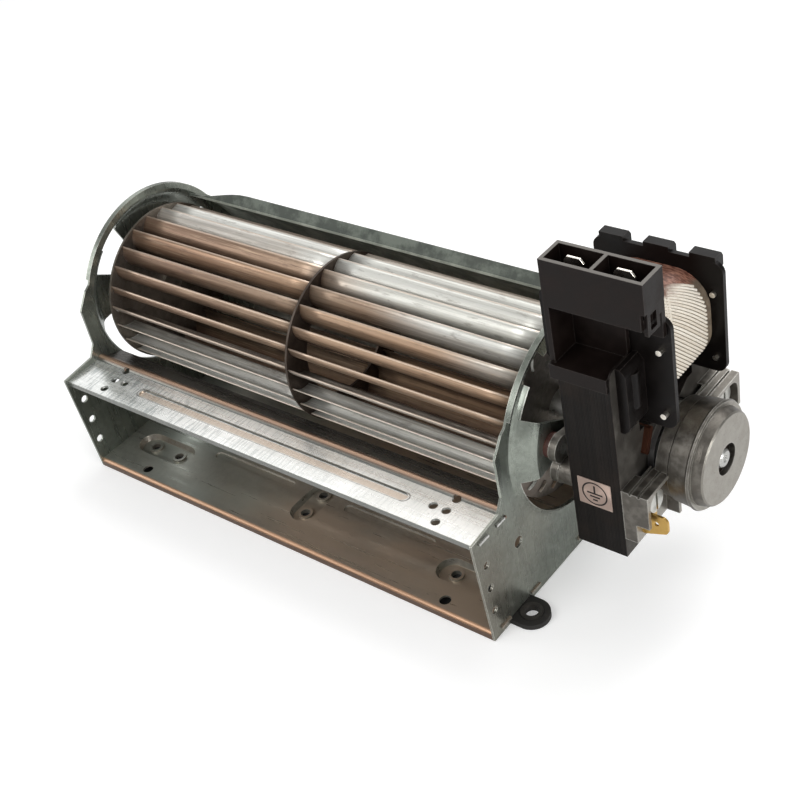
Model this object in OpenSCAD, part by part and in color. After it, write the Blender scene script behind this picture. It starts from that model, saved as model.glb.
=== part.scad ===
// Tangential blower: a two-stage sheet-metal impeller in a folded scroll housing,
// turned by a shaded-pole motor on the right end plate.
// X runs along the impeller towards the motor, Y to the back and Z up.
// The origin is the centre of the middle mounting pad's underside.

/* [Impeller] */
// Outside diameter of the three discs
impeller_d = 60; // [56:1:62]
// Distance from one disc to the next
stage_len = 88.6; // [60:0.2:120]
// Blades in each stage
blade_count = 24; // [18:1:30]
// Sheet thickness of a blade
blade_t = 0.45; // [0.3:0.05:0.6]
// Radial depth of the blade ring
blade_depth = 7.1; // [5:0.1:9]
// How far the blades stay inside the rim of a disc
blade_inset = 0.6; // [0.3:0.1:1.5]
// Angle between a blade's outer edge and the disc's rim
blade_exit_angle = 28; // [20:1:40]
// Turn of the left stage about the axis
left_phase = 2.8; // [0:0.1:15]
// Turn of the right stage about the axis
right_phase = 4.4; // [0:0.1:15]
// Sheet thickness of a disc
disc_t = 0.8; // [0.6:0.1:1.2]
// Inside diameter of the middle ring
ring_bore_d = 40; // [30:1:42]

/* [Housing] */
// Sheet thickness of the folded pieces
sheet_t = 0.8; // [0.6:0.1:1]
// Gap between an end disc and its end plate
end_gap = 3.3; // [2:0.1:6]
// Height of the impeller's axis over the mounting plane
axis_h = 53.5; // [50:0.5:60]
// Distance from the middle pad back to the impeller's axis
axis_back = 33.4; // [30:0.2:38]
// Depth of the mounting pads below the base sheet
pad_h = 2.2; // [1.5:0.1:3]
// Distance from the middle pad to the front fold
front_reach = 20.6; // [18:0.2:24]
// Clear height of the outlet
outlet_h = 37.7; // [34:0.1:40]
// Distance behind the axis at which the base starts to curl up
curl_back = 12; // [8:0.5:16]
// Inside radius of the lower curl
curl_r = 34; // [32:0.5:36]
// Angle over the horizontal at which the upper curl starts
curl_split = 10; // [4:1:16]
// Angle at which the scroll ends over the impeller
scroll_end = 47; // [42:1:52]
// Gap between the impeller and the scroll's end
scroll_gap = 3; // [2:0.1:5]
// Width of the lip at the scroll's end
lip_w = 5; // [3:0.5:7]
// Length of the lip that is cut away at the free end
lip_cut = 31; // [15:1:45]
// Gap between the impeller and the tongue
tongue_gap = 3; // [2:0.1:5]

/* [End plates] */
// Radius of the plate round the impeller
plate_r = 36.8; // [36:0.1:39]
// How far the plates stand proud of the scroll
plate_margin = 1.8; // [1:0.1:3]
// Depth of the drawn dome
dome_h = 7.2; // [5:0.1:9]
// Radius at the dome's foot
dome_foot_r = 34.6; // [34:0.1:35.5]
// Radius of the dome's flat crown
dome_top_r = 27; // [25:0.5:29]
// Inner radius of the air windows
window_in_r = 14; // [12:0.5:16]
// Outer radius of the air windows
window_out_r = 32.2; // [30:0.1:33]
// Angle that one spoke takes
spoke_angle = 39; // [30:1:50]
// Width of the rim flange round the plate
rim_w = 2; // [1:0.1:3]
// Height of a row hole over the next one
row_pitch = 9.6; // [8:0.1:11]

/* [Bearings] */
// Radius of the motor shaft
shaft_r = 3; // [2.5:0.1:3.5]
// Radius of the stub axle at the free end
axle_r = 2.5; // [2:0.1:3]
// Radial running clearance of both shafts
run_gap = 0.04; // [0.02:0.01:0.08]
// Radius of a sintered bush
bush_r = 5.5; // [5:0.1:6]
// Radius of the rubber grommet's groove
grommet_r = 8; // [7.5:0.1:9]

/* [Motor] */
// Gap between the right end plate's crown and the lamination stack
motor_gap = 11; // [9:0.5:14]
// Thickness of the lamination stack
stack_t = 16.8; // [14:0.1:20]
// Half width of the stack
stack_half = 27.5; // [26:0.5:30]
// Depth of the stack below the axis
stack_low = 24; // [22:0.5:28]
// Height of the stack's legs over the axis
stack_high = 40.5; // [38:0.5:46]
// Width of one leg
leg_w = 12.5; // [11:0.5:14]
// Radius of the rotor
rotor_r = 13; // [12:0.1:14]
// Gap between rotor and stack
air_gap = 0.4; // [0.3:0.05:0.6]
// Height of the coil's core limb
limb_h = 13.5; // [11:0.5:15]
// Width of the winding along the shaft
coil_w = 33; // [28:0.5:34]
// Depth of a bobbin flange along the shaft
flange_w = 41.5; // [38:0.5:44]
// Thickness of a bobbin flange
flange_t = 1.5; // [1:0.1:2]
// Radius of the outer bracket's cup
cup_r = 17; // [16:0.5:18.5]
// Reach of the outer bracket past the stack
cup_h = 18.7; // [16:0.1:22]
// Offset of the rear motor screw over the axis, and of the front one below it
screw_z = 3.5; // [2:0.5:5]

/* [Terminals] */
// Width of a flat terminal
spade_w = 6.3; // [4.8:0.1:6.3]
// Thickness of a flat terminal
spade_t = 0.8; // [0.5:0.1:0.8]
// Length of the terminal housing along the shaft
block_len = 31.4; // [28:0.2:36]
// Depth of the terminal housing
block_depth = 9.8; // [8.6:0.2:12]
// Height of the terminal housing's box
block_h = 15; // [12:0.5:18]
// Wall of the terminal housing
block_wall = 1.1; // [0.8:0.1:1.5]

/* [Hidden] */
$fn = 48;
eps = 0.01;
seat = 0.05;

// Along the impeller
impeller_r = impeller_d / 2;
blade_out_r = impeller_r - blade_inset;
blade_in_r = blade_out_r - blade_depth;
plate_x = stage_len + disc_t / 2 + end_gap;
crown_x = plate_x + dome_h;
stack_x = crown_x + motor_gap;
stack_end = stack_x + stack_t;
cup_end = stack_end + cup_h;

// Blade arc: radial at its inner edge, blade_exit_angle from the rim at its outer edge
blade_arc_r = (pow(blade_out_r, 2) - pow(blade_in_r, 2)) / (2 * blade_out_r * cos(blade_exit_angle));
blade_centre_r = sqrt(pow(blade_in_r, 2) + pow(blade_arc_r, 2));
blade_out_turn = acos((pow(blade_out_r, 2) + pow(blade_centre_r, 2) - pow(blade_arc_r, 2))
    / (2 * blade_out_r * blade_centre_r));
tab_in_r = blade_in_r + 2.2;
tab_out_r = blade_out_r - 1.4;
tab_h = 0.7;
slot_gap = 0.08;

// Scroll, drawn in Y and Z
base_low = pad_h;
base_top = pad_h + sheet_t;
shelf_low = base_top + outlet_h;
shelf_top = shelf_low + sheet_t;
axis_p = [axis_back, axis_h];
curl_c = [axis_back + curl_back, base_top + curl_r];
curl_end = curl_c + curl_r * [cos(curl_split), sin(curl_split)];
scroll_end_r = impeller_r + scroll_gap;
scroll_p = axis_p + scroll_end_r * [cos(scroll_end), sin(scroll_end)];
split_dir = [cos(curl_split), sin(curl_split)];
chord = scroll_p - curl_end;
upper_r = -(chord * chord) / (2 * (chord * split_dir));
upper_c = curl_end - upper_r * split_dir;
upper_end = atan2(scroll_p[1] - upper_c[1], scroll_p[0] - upper_c[0]);
tongue_angle = 209;
tongue_p = axis_p + (impeller_r + tongue_gap) * [cos(tongue_angle), sin(tongue_angle)];

// Base sheet
front_y = -front_reach;
base_hole_x = plate_x - 21.6;
base_hole_y = -16;
base_hole_r = 2;
pad_hole_r = 1.75;
mid_pad_len = 20;
pad_w = 9.5;
mid_hole_y = 5;
side_pad_x = plate_x - 19.7;
side_pad_y = -4;
side_pad_len = 26;
side_hole_dx = 6.4;
pad_slope = 1.2;
bead_w = 4;
bead_h = 0.6;
bead_y = 3;

// Shelf
shelf_front = front_y - 1;
shelf_back = -6.3;
shelf_fold = 2;
shelf_hole_x = plate_x - 16.3;
shelf_mid_hole_x = shelf_hole_x - 5;
shelf_hole_y = -12.6;
shelf_hole_pitch = 5.55;
shelf_hole_r = 1.5;
groove_len = 2 * (plate_x - 30.8);
groove_w = 4.5;
groove_y = -13.6;
groove_h = 0.6;
bulge_r = 1.3;

// End plate outline
lean = 2.4;
plate_top = shelf_top + 1.1;
plate_rise_y = -9;
neck_y = -6.2;
neck_low = 48.5;
neck_high = 63;
shoulder_p = [-1.6, 69];
rim_from = 48;
rim_to = 150;
row_y = -18;
row_z = 11.7;
row_hole_r = 1.4;
side_hole = [-1.8, 26.8];
side_hole_r = 2;
tab_len = 5;
shelf_tab_y = [-17.4, -8.4];
base_tab_y = [-14.1, 2.6, 30];
tab_proud = 0.6;
shaft_hole_r = 9.2;
spoke_at = [168.5, 288.5, 48.5];
notch_r = 34.1;
notch_from = 113;
notch_to = 131;

// Motor mounting
mount_pcr = 21.5;
mount_bush_r = 4;
mount_bush_t = 2;
mount_screw_r = 1.6;
bracket_x = crown_x + mount_bush_t;
bracket_t = 2.6;
boss_r = 8;
inner_boss_x = crown_x - 1.5;
bush_len = 7;
left_bush_len = 6;
grommet_len = 4;
grommet_lip = 1.6;
mount_arm_w = 9;
mount_head_r = 3;
mount_head_t = 1.6;
inner_boss_len = 9.5;
screw_boss_r = 4.2;

// Core, coil and terminals
window_low = 15;
limb_top = stack_high + 2;
limb_low = limb_top - limb_h;
leg_in = stack_half - leg_w;
stack_mid = stack_x + stack_t / 2;
tube_t = 1;
coil_under = 5;
coil_over = 9;
coil_low = limb_low - tube_t - coil_under;
coil_high = limb_top + tube_t + coil_over;
coil_corner = 11;
flange_low = 19.6;
flange_high = 57;
flange_x = stack_mid - flange_w / 2;
flange_in = leg_in - flange_t;
block_x = stack_mid - 10.6;
block_front = stack_half - 0.7;
block_low = flange_high + 3.5;
block_high = block_low + block_h;
block_floor = 3;
block_step_x = 1.4;
block_step_z = 5.5;
latch_w = 1.2;
leg_wall = 1.6;
cell_len = (block_len - 3 * block_wall) / 2;
spade_low = block_low + 0.6;
spade_top = block_high - 4.5;
back_wall_low = flange_high - 5;
cap_low = stack_high - 3.2;
cap_high = stack_high + 1.5;
cap_proud = 0.6;
end_sheet_t = 0.6;
end_sheet_rise = 3.2;
end_sheet_round = 3;
cheek_t = 3.2;
cheek_low = 21.5;
cheek_high = stack_high + end_sheet_rise;
cheek_out = 24.5;
cheek_round = 3;
cheek_rib_r = 2;
screw_y = stack_half - leg_w / 2;
screw_r = 2;
head_r = 3.6;

// A profile drawn in Y and Z, run along X
module along(x, len)
    translate([x, 0, 0]) rotate([90, 0, 90]) linear_extrude(len) children();

// Local X and Y lie along Y and Z, local Z along X, on the impeller's axis
module on_axis(x = 0)
    translate([x, axis_back, axis_h]) rotate([90, 0, 90]) children();

module rod(x, len, r)
    on_axis(x) cylinder(h = len, r = r);

module pipe(x, len, r, bore)
    on_axis(x) linear_extrude(len) ring2d(r, bore);

module ring2d(r, bore)
    difference() { circle(r); circle(bore); }

// Sector from angle a to angle b
module wedge(a, b, r)
    polygon(concat([[0, 0]], [for (i = [0:6]) 1.2 * r * [cos(a + (b - a) * i / 6), sin(a + (b - a) * i / 6)]]));

module arc_band(c, r, t, a, b)
    translate(c) intersection() { ring2d(r + t, r); wedge(a, b, r + t); }

// Oblong with round ends, along X
module oblong(len, w) {
    square([len - w, w], center = true);
    for (s = [-1, 1]) translate([s * (len - w) / 2, 0]) circle(w / 2);
}

// Solid with sloping sides and round ends: w wide at the bottom, wider by 2 * slope at the top
module dish(len, w, h, slope) {
    run = len - w;
    translate([-run / 2, 0, 0]) rotate([90, 0, 90]) linear_extrude(run)
        polygon([[-w / 2, 0], [w / 2, 0], [w / 2 + slope, h], [-w / 2 - slope, h]]);
    for (s = [-1, 1]) translate([s * run / 2, 0, 0]) cylinder(h = h, r1 = w / 2, r2 = w / 2 + slope);
}

// Blades of one stage, in the plane of the discs
module blade2d(t, r_in, r_out)
    intersection() {
        translate(blade_centre_r * [cos(-blade_out_turn), sin(-blade_out_turn)])
            ring2d(blade_arc_r + t / 2, blade_arc_r - t / 2);
        ring2d(r_out, r_in);
        wedge(-4, 20, r_out);
    }

module around_stage(phase)
    for (i = [0:blade_count - 1]) rotate(phase + i * 360 / blade_count) children();

module blade_stage(x, phase, tab_side) {
    len = stage_len - disc_t;
    on_axis(x + disc_t / 2) linear_extrude(len) around_stage(phase) blade2d(blade_t, blade_in_r, blade_out_r);
    tab_x = tab_side < 0 ? x + disc_t / 2 - disc_t - tab_h : x + disc_t / 2 + len - eps;
    on_axis(tab_x) linear_extrude(disc_t + tab_h + eps) around_stage(phase) blade2d(blade_t, tab_in_r, tab_out_r);
}

module impeller_left_blades() color("#a9937c") blade_stage(-stage_len, left_phase, -1);

module impeller_right_blades() color("#a9937c") blade_stage(0, right_phase, 1);

module end_disc(x, phase, bore)
    on_axis(x - disc_t / 2) linear_extrude(disc_t) difference() {
        circle(impeller_r);
        circle(bore);
        around_stage(phase) blade2d(blade_t + 2 * slot_gap, tab_in_r - slot_gap, tab_out_r + slot_gap);
    }

module impeller_left_disc() color("#9aa09a") end_disc(-stage_len, left_phase, axle_r);

module impeller_right_disc() color("#9aa09a") end_disc(stage_len, right_phase, shaft_r + 1.4);

module impeller_middle_ring()
    color("#9aa09a") pipe(-disc_t / 2, disc_t, impeller_r, ring_bore_d / 2);

// Folded sheets
// Scroll curve, g outside its inner face: the lower curl, then the upper one
curl_steps = 20;
upper_steps = 12;
function curl_path(g) = [for (i = [0:curl_steps])
    let (a = -90 + (90 + curl_split) * i / curl_steps) curl_c + (curl_r + g) * [cos(a), sin(a)]];
function upper_path(g) = [for (i = [1:upper_steps])
    let (a = curl_split + (upper_end - curl_split) * i / upper_steps) upper_c + (upper_r + g) * [cos(a), sin(a)]];
function scroll_path(g) = concat(curl_path(g), upper_path(g));
function reversed(v) = [for (i = [len(v) - 1:-1:0]) v[i]];

module scroll_section() {
    bend = 2 * sheet_t;
    polygon(concat([[front_y + bend, base_top]], scroll_path(0), reversed(scroll_path(sheet_t)),
        [[front_y + bend, base_low]]));
    translate([front_y, 0]) square([bend, base_low]);
    intersection() {
        translate([front_y + bend, base_top - bend]) circle(bend);
        translate([front_y, base_low - eps]) square([bend + eps, bend]);
    }
}

module lip_section()
    translate(scroll_p) rotate(scroll_end) polygon([[0, -0.6], [lip_w, 0.4], [lip_w, 0.4 + sheet_t],
        [sheet_t, sheet_t], [0, 0.4]]);

// Width of the lip along the free end, from nothing at the plate to lip_w
lip_steps = 8;

module lip_outline()
    polygon(concat([[0, -1], [2 * plate_x, -1], [2 * plate_x, lip_w + 1], [lip_cut, lip_w + 1]],
        [for (i = [lip_steps:-1:0]) [lip_cut * i / lip_steps, lip_w * (1 - cos(180 * i / lip_steps)) / 2]]));

module lip()
    intersection() {
        along(-plate_x, 2 * plate_x) lip_section();
        translate([-plate_x, scroll_p[0], scroll_p[1]]) rotate([scroll_end, 0, 0])
            translate([0, 0, -2]) linear_extrude(5) lip_outline();
    }

module pads(grow, z) {
    translate([0, 0, z]) rotate(90) dish(mid_pad_len + 2 * grow, pad_w + 2 * grow, base_top, pad_slope);
    for (s = [-1, 1]) translate([s * side_pad_x, side_pad_y, z])
        dish(side_pad_len + 2 * grow, pad_w + 2 * grow, base_top, pad_slope);
}

module beads(grow, z)
    for (s = [-1, 1]) translate([s * (side_pad_x - side_pad_len / 2 + pad_w / 2) / 2, bead_y, z])
        dish(side_pad_x - side_pad_len / 2 - pad_w - 10 + 2 * grow, bead_w + 2 * grow, bead_h + sheet_t, bead_h);

module pad_holes(r, z, h) {
    for (s = [-1, 1]) translate([0, s * mid_hole_y, z]) cylinder(h = h, r = r);
    for (s = [-1, 1], d = [-1, 1])
        translate([s * side_pad_x + d * side_hole_dx, side_pad_y, z]) cylinder(h = h, r = r);
}

module side_tabs(ys, z)
    for (s = [-1, 1], y = ys)
        translate([s > 0 ? plate_x - eps : -plate_x - sheet_t - tab_proud, y - tab_len / 2, z])
            cube([sheet_t + tab_proud + eps, tab_len, sheet_t]);

module scroll_housing() color("#8d938d") {
    difference() {
        union() {
            along(-plate_x, 2 * plate_x) scroll_section();
            lip();
            intersection() {
                pads(0, 0);
                translate([-plate_x, front_y, 0]) cube([2 * plate_x, axis_back, base_top]);
            }
            beads(0, base_low - bead_h);
            pad_holes(pad_hole_r + 0.9, 0, sheet_t + 0.9);
            side_tabs(base_tab_y, base_low);
        }
        pads(-sheet_t / 2, sheet_t);
        beads(-sheet_t / 2, base_low - bead_h + sheet_t);
        pad_holes(pad_hole_r, -1, base_top + 2);
        for (s = [-1, 1]) translate([s * base_hole_x, base_hole_y, 0]) cylinder(h = base_top + 1, r = base_hole_r);
    }
    difference() {
        pad_holes(pad_hole_r + 0.9, sheet_t - eps, 0.9);
        pad_holes(pad_hole_r, 0, base_top);
    }
}

module shelf_section() {
    translate([shelf_front, shelf_low - shelf_fold + sheet_t]) square([sheet_t, shelf_fold]);
    translate([shelf_front, shelf_low]) square([shelf_back - shelf_front, sheet_t]);
    translate([shelf_back + bulge_r, shelf_low]) intersection() {
        ring2d(bulge_r + sheet_t, bulge_r);
        translate([-2 * bulge_r - sheet_t, 0]) square([4 * bulge_r + sheet_t, 2 * bulge_r + sheet_t]);
    }
    start = [shelf_back + 2 * bulge_r, shelf_low];
    polygon([start, tongue_p, tongue_p + [0, sheet_t], start + [sheet_t, sheet_t / 2]]);
}

module shelf_holes(r, z, h) {
    for (s = [-1, 1], k = [-1, 0, 1])
        translate([s * shelf_hole_x, shelf_hole_y + k * shelf_hole_pitch, z]) cylinder(h = h, r = r);
    for (s = [-1, 1]) translate([s * shelf_mid_hole_x, shelf_hole_y, z]) cylinder(h = h, r = r);
}

module outlet_shelf() color("#c9cdc9")
    difference() {
        union() {
            along(-plate_x, 2 * plate_x) shelf_section();
            translate([0, groove_y, shelf_low - groove_h])
                dish(groove_len, groove_w, groove_h + sheet_t, groove_h / 2);
            side_tabs(shelf_tab_y, shelf_low);
        }
        translate([0, groove_y, shelf_low - groove_h + sheet_t])
            dish(groove_len - sheet_t, groove_w - sheet_t, groove_h + sheet_t, groove_h / 2);
        shelf_holes(shelf_hole_r, shelf_low - 1, sheet_t + 2);
    }

// End plate, drawn on the motor side
module plate_outline() {
    translate(axis_p) circle(plate_r, $fn = 96);
    polygon(concat([[curl_c[0] - 6, 0], [front_y, 0], [front_y - lean, plate_top], [plate_rise_y, plate_top + 1.4],
        [neck_y, neck_low], [neck_y, neck_high], shoulder_p, axis_p + (plate_r - 1) * [cos(rim_to), sin(rim_to)],
        axis_p], reversed(scroll_path(plate_margin))));
}

dome_steps = 10;

// Smooth rise of the dome from its foot, at step 0, to its crown
function dome_ramp(i) = (1 - cos(180 * i / dome_steps)) / 2;
function dome_radius(i) = dome_foot_r - (dome_foot_r - dome_top_r) * i / dome_steps;

module dome_walls(hole_r) {
    foot = dome_foot_r + sheet_t / 2 + 0.3;
    inner = [for (i = [dome_steps:-1:0]) [dome_radius(i), (dome_h - sheet_t) * dome_ramp(i)]];
    outer = [for (i = [0:dome_steps]) [dome_radius(i) + sheet_t / 2, sheet_t + (dome_h - sheet_t) * dome_ramp(i)]];
    on_axis(plate_x) rotate_extrude($fn = 96)
        polygon(concat([[hole_r, dome_h], [hole_r, dome_h - sheet_t]], inner, [[foot, 0], [foot, sheet_t]], outer));
}

module window2d(a, b) {
    intersection() {
        ring2d(window_out_r, window_in_r);
        wedge(a, b, window_out_r);
    }
}

module windows() {
    for (k = [0:2]) {
        from = spoke_at[k] + spoke_angle / 2;
        window2d(from, from + 120 - spoke_angle);
    }
    intersection() {
        ring2d(notch_r, window_in_r);
        wedge(notch_from, notch_to, notch_r);
    }
}

module tab_slots(ys, z, gap)
    for (y = ys) translate([y - tab_len / 2 - gap, z - gap]) square([tab_len + 2 * gap, sheet_t + 2 * gap]);

module foot_notch()
    translate([foot_y - foot_w / 2 - seat, -1]) square([foot_w + 2 * seat, base_low + 1 - seat]);

module end_plate(hole_r, notched) {
    along(plate_x, sheet_t) difference() {
        plate_outline();
        translate(axis_p) circle(dome_foot_r + sheet_t / 2 + 0.2);
        for (k = [0:2]) translate([row_y, row_z + k * row_pitch]) circle(row_hole_r);
        translate(side_hole) circle(side_hole_r);
        tab_slots(shelf_tab_y, shelf_low, 0.12);
        tab_slots(base_tab_y, base_low, 0.12);
        if (notched) foot_notch();
    }
    difference() {
        dome_walls(hole_r);
        on_axis(plate_x - 1) linear_extrude(dome_h + 3) windows();
        children();
    }
    along(plate_x, rim_w) arc_band(axis_p, plate_r - sheet_t, sheet_t, rim_from, rim_to);
}

module left_end_plate() color("#7f8681")
    mirror([1, 0, 0]) end_plate(grommet_r, false);

module right_end_plate() color("#7f8681")
    end_plate(shaft_hole_r, true) at_mounts(plate_x) cylinder(h = dome_h + 2, r = mount_screw_r + 0.2);

module at_mounts(x)
    for (a = spoke_at) on_axis(x) translate(mount_pcr * [cos(a), sin(a)]) children();

// Impeller's shafts and hub
module left_stub_axle() color("#b8bbb8") {
    head = 1.2;
    rod(-crown_x - 4, crown_x + 4 - stage_len - disc_t / 2, axle_r);
    rod(-stage_len - disc_t / 2, disc_t, axle_r);
    rod(-stage_len + disc_t / 2, head, axle_r + 2);
    rod(-stage_len - disc_t / 2 - head, head, axle_r + 1.6);
}

hub_x = stage_len + disc_t / 2;
hub_len = 6.8;
hub_r = 6.5;
spigot_r = shaft_r + 1.4;
swage_t = 0.8;

module impeller_hub() color("#b8bbb8")
    difference() {
        union() {
            rod(hub_x, hub_len, hub_r);
            rod(hub_x - disc_t - swage_t, disc_t + swage_t + eps, spigot_r);
            rod(hub_x - disc_t - swage_t, swage_t, spigot_r + 1);
        }
        rod(hub_x - 5, hub_len + 10, shaft_r);
        hub_screw_hole(1.5);
    }

module hub_screw_hole(r)
    on_axis(hub_x + hub_len / 2) rotate([0, 90, 0]) cylinder(h = hub_r + 1, r = r);

module hub_grub_screw() color("#4a4a4a")
    difference() {
        on_axis(hub_x + hub_len / 2) rotate([0, 90, 0])
            translate([0, 0, shaft_r]) cylinder(h = hub_r - shaft_r - 0.4, r = 1.5);
        on_axis(hub_x + hub_len / 2) rotate([0, 90, 0])
            translate([0, 0, hub_r - 2]) cylinder(h = 3, r = 0.8, $fn = 6);
    }

module motor_shaft() color("#c2c5c4")
    rod(hub_x - disc_t - 1, cup_end - 1.6 - hub_x + disc_t + 1, shaft_r);

module rotor_core() color("#6e6a66")
    pipe(stack_x, stack_t, rotor_r, shaft_r);

module rotor_end_rings() color("#b9bcbd")
    for (x = [stack_x - 1.8, stack_end]) pipe(x, 1.8, rotor_r - 0.5, rotor_r - 5);

// Left bearing: bush in a grommet in the plate's crown
module left_bearing_bush() color("#b98a4b")
    pipe(-crown_x - grommet_lip - 1, left_bush_len, bush_r, axle_r + run_gap);

module left_bearing_grommet() color("#2b2b2b")
    on_axis(-crown_x - grommet_lip) rotate_extrude($fn = 96) polygon([[bush_r, 0], [grommet_r + grommet_lip, 0],
        [grommet_r + grommet_lip, grommet_lip], [grommet_r, grommet_lip], [grommet_r, grommet_lip + sheet_t],
        [grommet_r + grommet_lip, grommet_lip + sheet_t], [grommet_r + grommet_lip, grommet_len], [bush_r, grommet_len]]);

module left_bearing_retainer() color("#aeb1ae")
    pipe(-crown_x - 3.6, 0.6, axle_r + 1.8, axle_r);

// Motor
module core_outline()
    difference() {
        translate([-stack_half, -stack_low]) square([2 * stack_half, stack_low + stack_high]);
        translate([-leg_in, window_low]) square([2 * leg_in, stack_high]);
        circle(rotor_r + air_gap, $fn = 96);
        polygon([[-5, rotor_r - 2], [5, rotor_r - 2], [leg_in - 1, window_low + 1], [1 - leg_in, window_low + 1]]);
        for (s = [-1, 1]) translate(s * [screw_y, screw_z]) circle(screw_r + 0.15);
        shade_holes(0.12);
    }

shade_r = 0.9;
shade_pairs = [[[-14.6, 7.6], [-11.9, 14.1]], [[14.6, -7.6], [11.9, -14.1]]];
shade_end = 1.8;

module shade_holes(gap)
    for (pair = shade_pairs, p = pair) translate(p) circle(shade_r + gap);

// The last sheet rises over both legs, with rounded corners
module end_sheet_tops()
    on_axis(stack_end - end_sheet_t) linear_extrude(end_sheet_t) for (s = [-1, 1])
        translate([s * (stack_half - leg_w / 2) - leg_w / 2, stack_high - 2 * end_sheet_round])
        rounded_box2d(0, 0, leg_w, end_sheet_rise + 2 * end_sheet_round, end_sheet_round);

module stator_core() color("#2e2826") {
    on_axis(stack_x) linear_extrude(stack_t) core_outline();
    end_sheet_tops();
}

module core_bridge() color("#2e2826")
    on_axis(stack_x) linear_extrude(stack_t)
        translate([-leg_in, limb_low]) square([2 * leg_in, limb_h]);

module shading_rings() color("#b87345")
    for (pair = shade_pairs) {
        for (p = pair) on_axis(stack_x - 1) translate(p) cylinder(h = stack_t + 2, r = shade_r - 0.1);
        for (x = [stack_x - shade_end, stack_end]) on_axis(x) linear_extrude(shade_end) shade_link(pair[0], pair[1]);
    }

module shade_link(a, b) {
    d = b - a;
    translate((a + b) / 2) rotate(atan2(d[1], d[0])) oblong(norm(d) + 2 * shade_r, 2 * shade_r);
}

// A shape drawn in X and Z (height over the axis), run along Y
module across(y, t)
    translate([0, axis_back + y + t, axis_h]) rotate([90, 0, 0]) linear_extrude(t) children();

// The lower left corner is cut off, clear of the end plate's crown
flange_cut = [10, 14];
flange_corner = 3.5;

module flange_outline()
    difference() {
        rounded_box2d(flange_x, flange_low, flange_w, flange_high - flange_low, flange_corner);
        translate([flange_x, flange_low]) polygon([[-1, -1], [flange_cut[0], -1], flange_cut - [0, flange_cut[1]],
            [0, flange_cut[1]], [-1, flange_cut[1]]]);
    }

// Cheek of a flange against the end of its leg, with a rounded rib down its middle
module leg_cheek(side) {
    x = stack_end + seat;
    y = side * (cheek_out + leg_in) / 2;
    across(side > 0 ? leg_in - flange_t : -cheek_out, cheek_out - leg_in + flange_t)
        translate([x, cheek_low]) square([flange_t, cheek_high - cheek_low]);
    intersection() {
        across(side > 0 ? leg_in : -cheek_out, cheek_out - leg_in) rounded_box2d(x - cheek_round, cheek_low,
            cheek_t + cheek_round, cheek_high - cheek_low, cheek_round);
        translate([x, axis_back - cheek_out, axis_h]) cube([cheek_t, 2 * cheek_out, cheek_high]);
    }
    translate([x + cheek_t - cheek_rib_r / 2, axis_back + y, axis_h + cheek_low + 8])
        cylinder(h = cheek_high - cheek_low - 11, r = cheek_rib_r);
    translate([x + cheek_t - cheek_rib_r / 2, axis_back + y, axis_h + cheek_low + 8]) sphere(cheek_rib_r);
}

module rounded_box2d(x, z, w, h, r) {
    translate([x + r, z]) square([w - 2 * r, h]);
    translate([x, z + r]) square([w, h - 2 * r]);
    for (dx = [r, w - r], dz = [r, h - r]) translate([x + dx, z + dz]) circle(r);
}

module coil_bobbin() color("#191818") {
    difference() {
        union() {
            for (y = [-leg_in, flange_in]) across(y, flange_t) flange_outline();
            across(-flange_in - eps, 2 * flange_in + 2 * eps)
                translate([stack_x - tube_t - seat, limb_low - tube_t - seat])
                square([stack_t + 2 * tube_t + 2 * seat, limb_h + 2 * tube_t + 2 * seat]);
        }
        across(-leg_in - 1, 2 * leg_in + 2) translate([stack_x - seat, limb_low - seat])
            square([stack_t + 2 * seat, limb_h + 2 * seat]);
        for (s = [-1, 1], p = pin_at) across(s > 0 ? flange_in - 1 : -leg_in - 1, flange_t + 2)
            translate(p) circle(pin_r);
    }
    for (k = [-1, 0, 1]) flange_clip(flange_x + flange_w / 2 + k * clip_pitch);
    for (side = [-1, 1]) leg_cheek(side);
}

// Clip on the upper edge of the back flange
clip_w = 8;
clip_t = 3;
clip_rise = 1.5;
clip_pitch = 14.5;

module flange_clip(x)
    along(x - clip_w / 2, clip_w) translate([axis_back + leg_in, axis_h + flange_high - clip_t - clip_rise])
        polygon([[0, 0], [clip_t, clip_rise], [clip_t, clip_t + clip_rise], [clip_t - 1, clip_t + 2 * clip_rise],
            [-flange_t, clip_t + 2 * clip_rise], [-flange_t, clip_t + clip_rise - eps], [0, clip_t + clip_rise - eps]]);

pin_r = 0.9;
pin_x = flange_x + flange_w - 3.2;
pin_at = [[pin_x, 46.5], [pin_x, 24.7]];

module coil_pins() color("#c9c9c4")
    for (s = [-1, 1], p = pin_at)
        across(s > 0 ? flange_in - 0.8 : -leg_in - 1.8, flange_t + 2.6) translate(p) circle(pin_r);

module coil_winding() color("#d9cfb8")
    across(-flange_in, 2 * flange_in) difference() {
        rounded_box2d(stack_mid - coil_w / 2, coil_low, coil_w, coil_high - coil_low, coil_corner);
        translate([stack_x - tube_t - seat, limb_low - tube_t - seat])
            square([stack_t + 2 * tube_t + 2 * seat, limb_h + 2 * tube_t + 2 * seat]);
    }

// Terminal housing: the box with two sockets, and a wall down to the cap on the front leg
module housing_box() {
    step_top = block_low + block_step_z;
    across(-block_front, block_depth) translate([block_x, step_top]) square([block_len, block_high - step_top]);
    across(-block_front, block_front - leg_in)
        translate([block_x, block_low]) square([block_len - block_step_x, block_step_z + eps]);
}

module latch()
    along(block_x + block_len - block_step_x, latch_w) difference() {
        translate([axis_back - block_front + 1.4, axis_h + block_low - 2]) square([5.8, block_step_z + 2.5]);
        translate([axis_back - block_front + 2.8, axis_h + block_low - 0.8]) square([3, block_step_z - 0.6]);
    }

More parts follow.
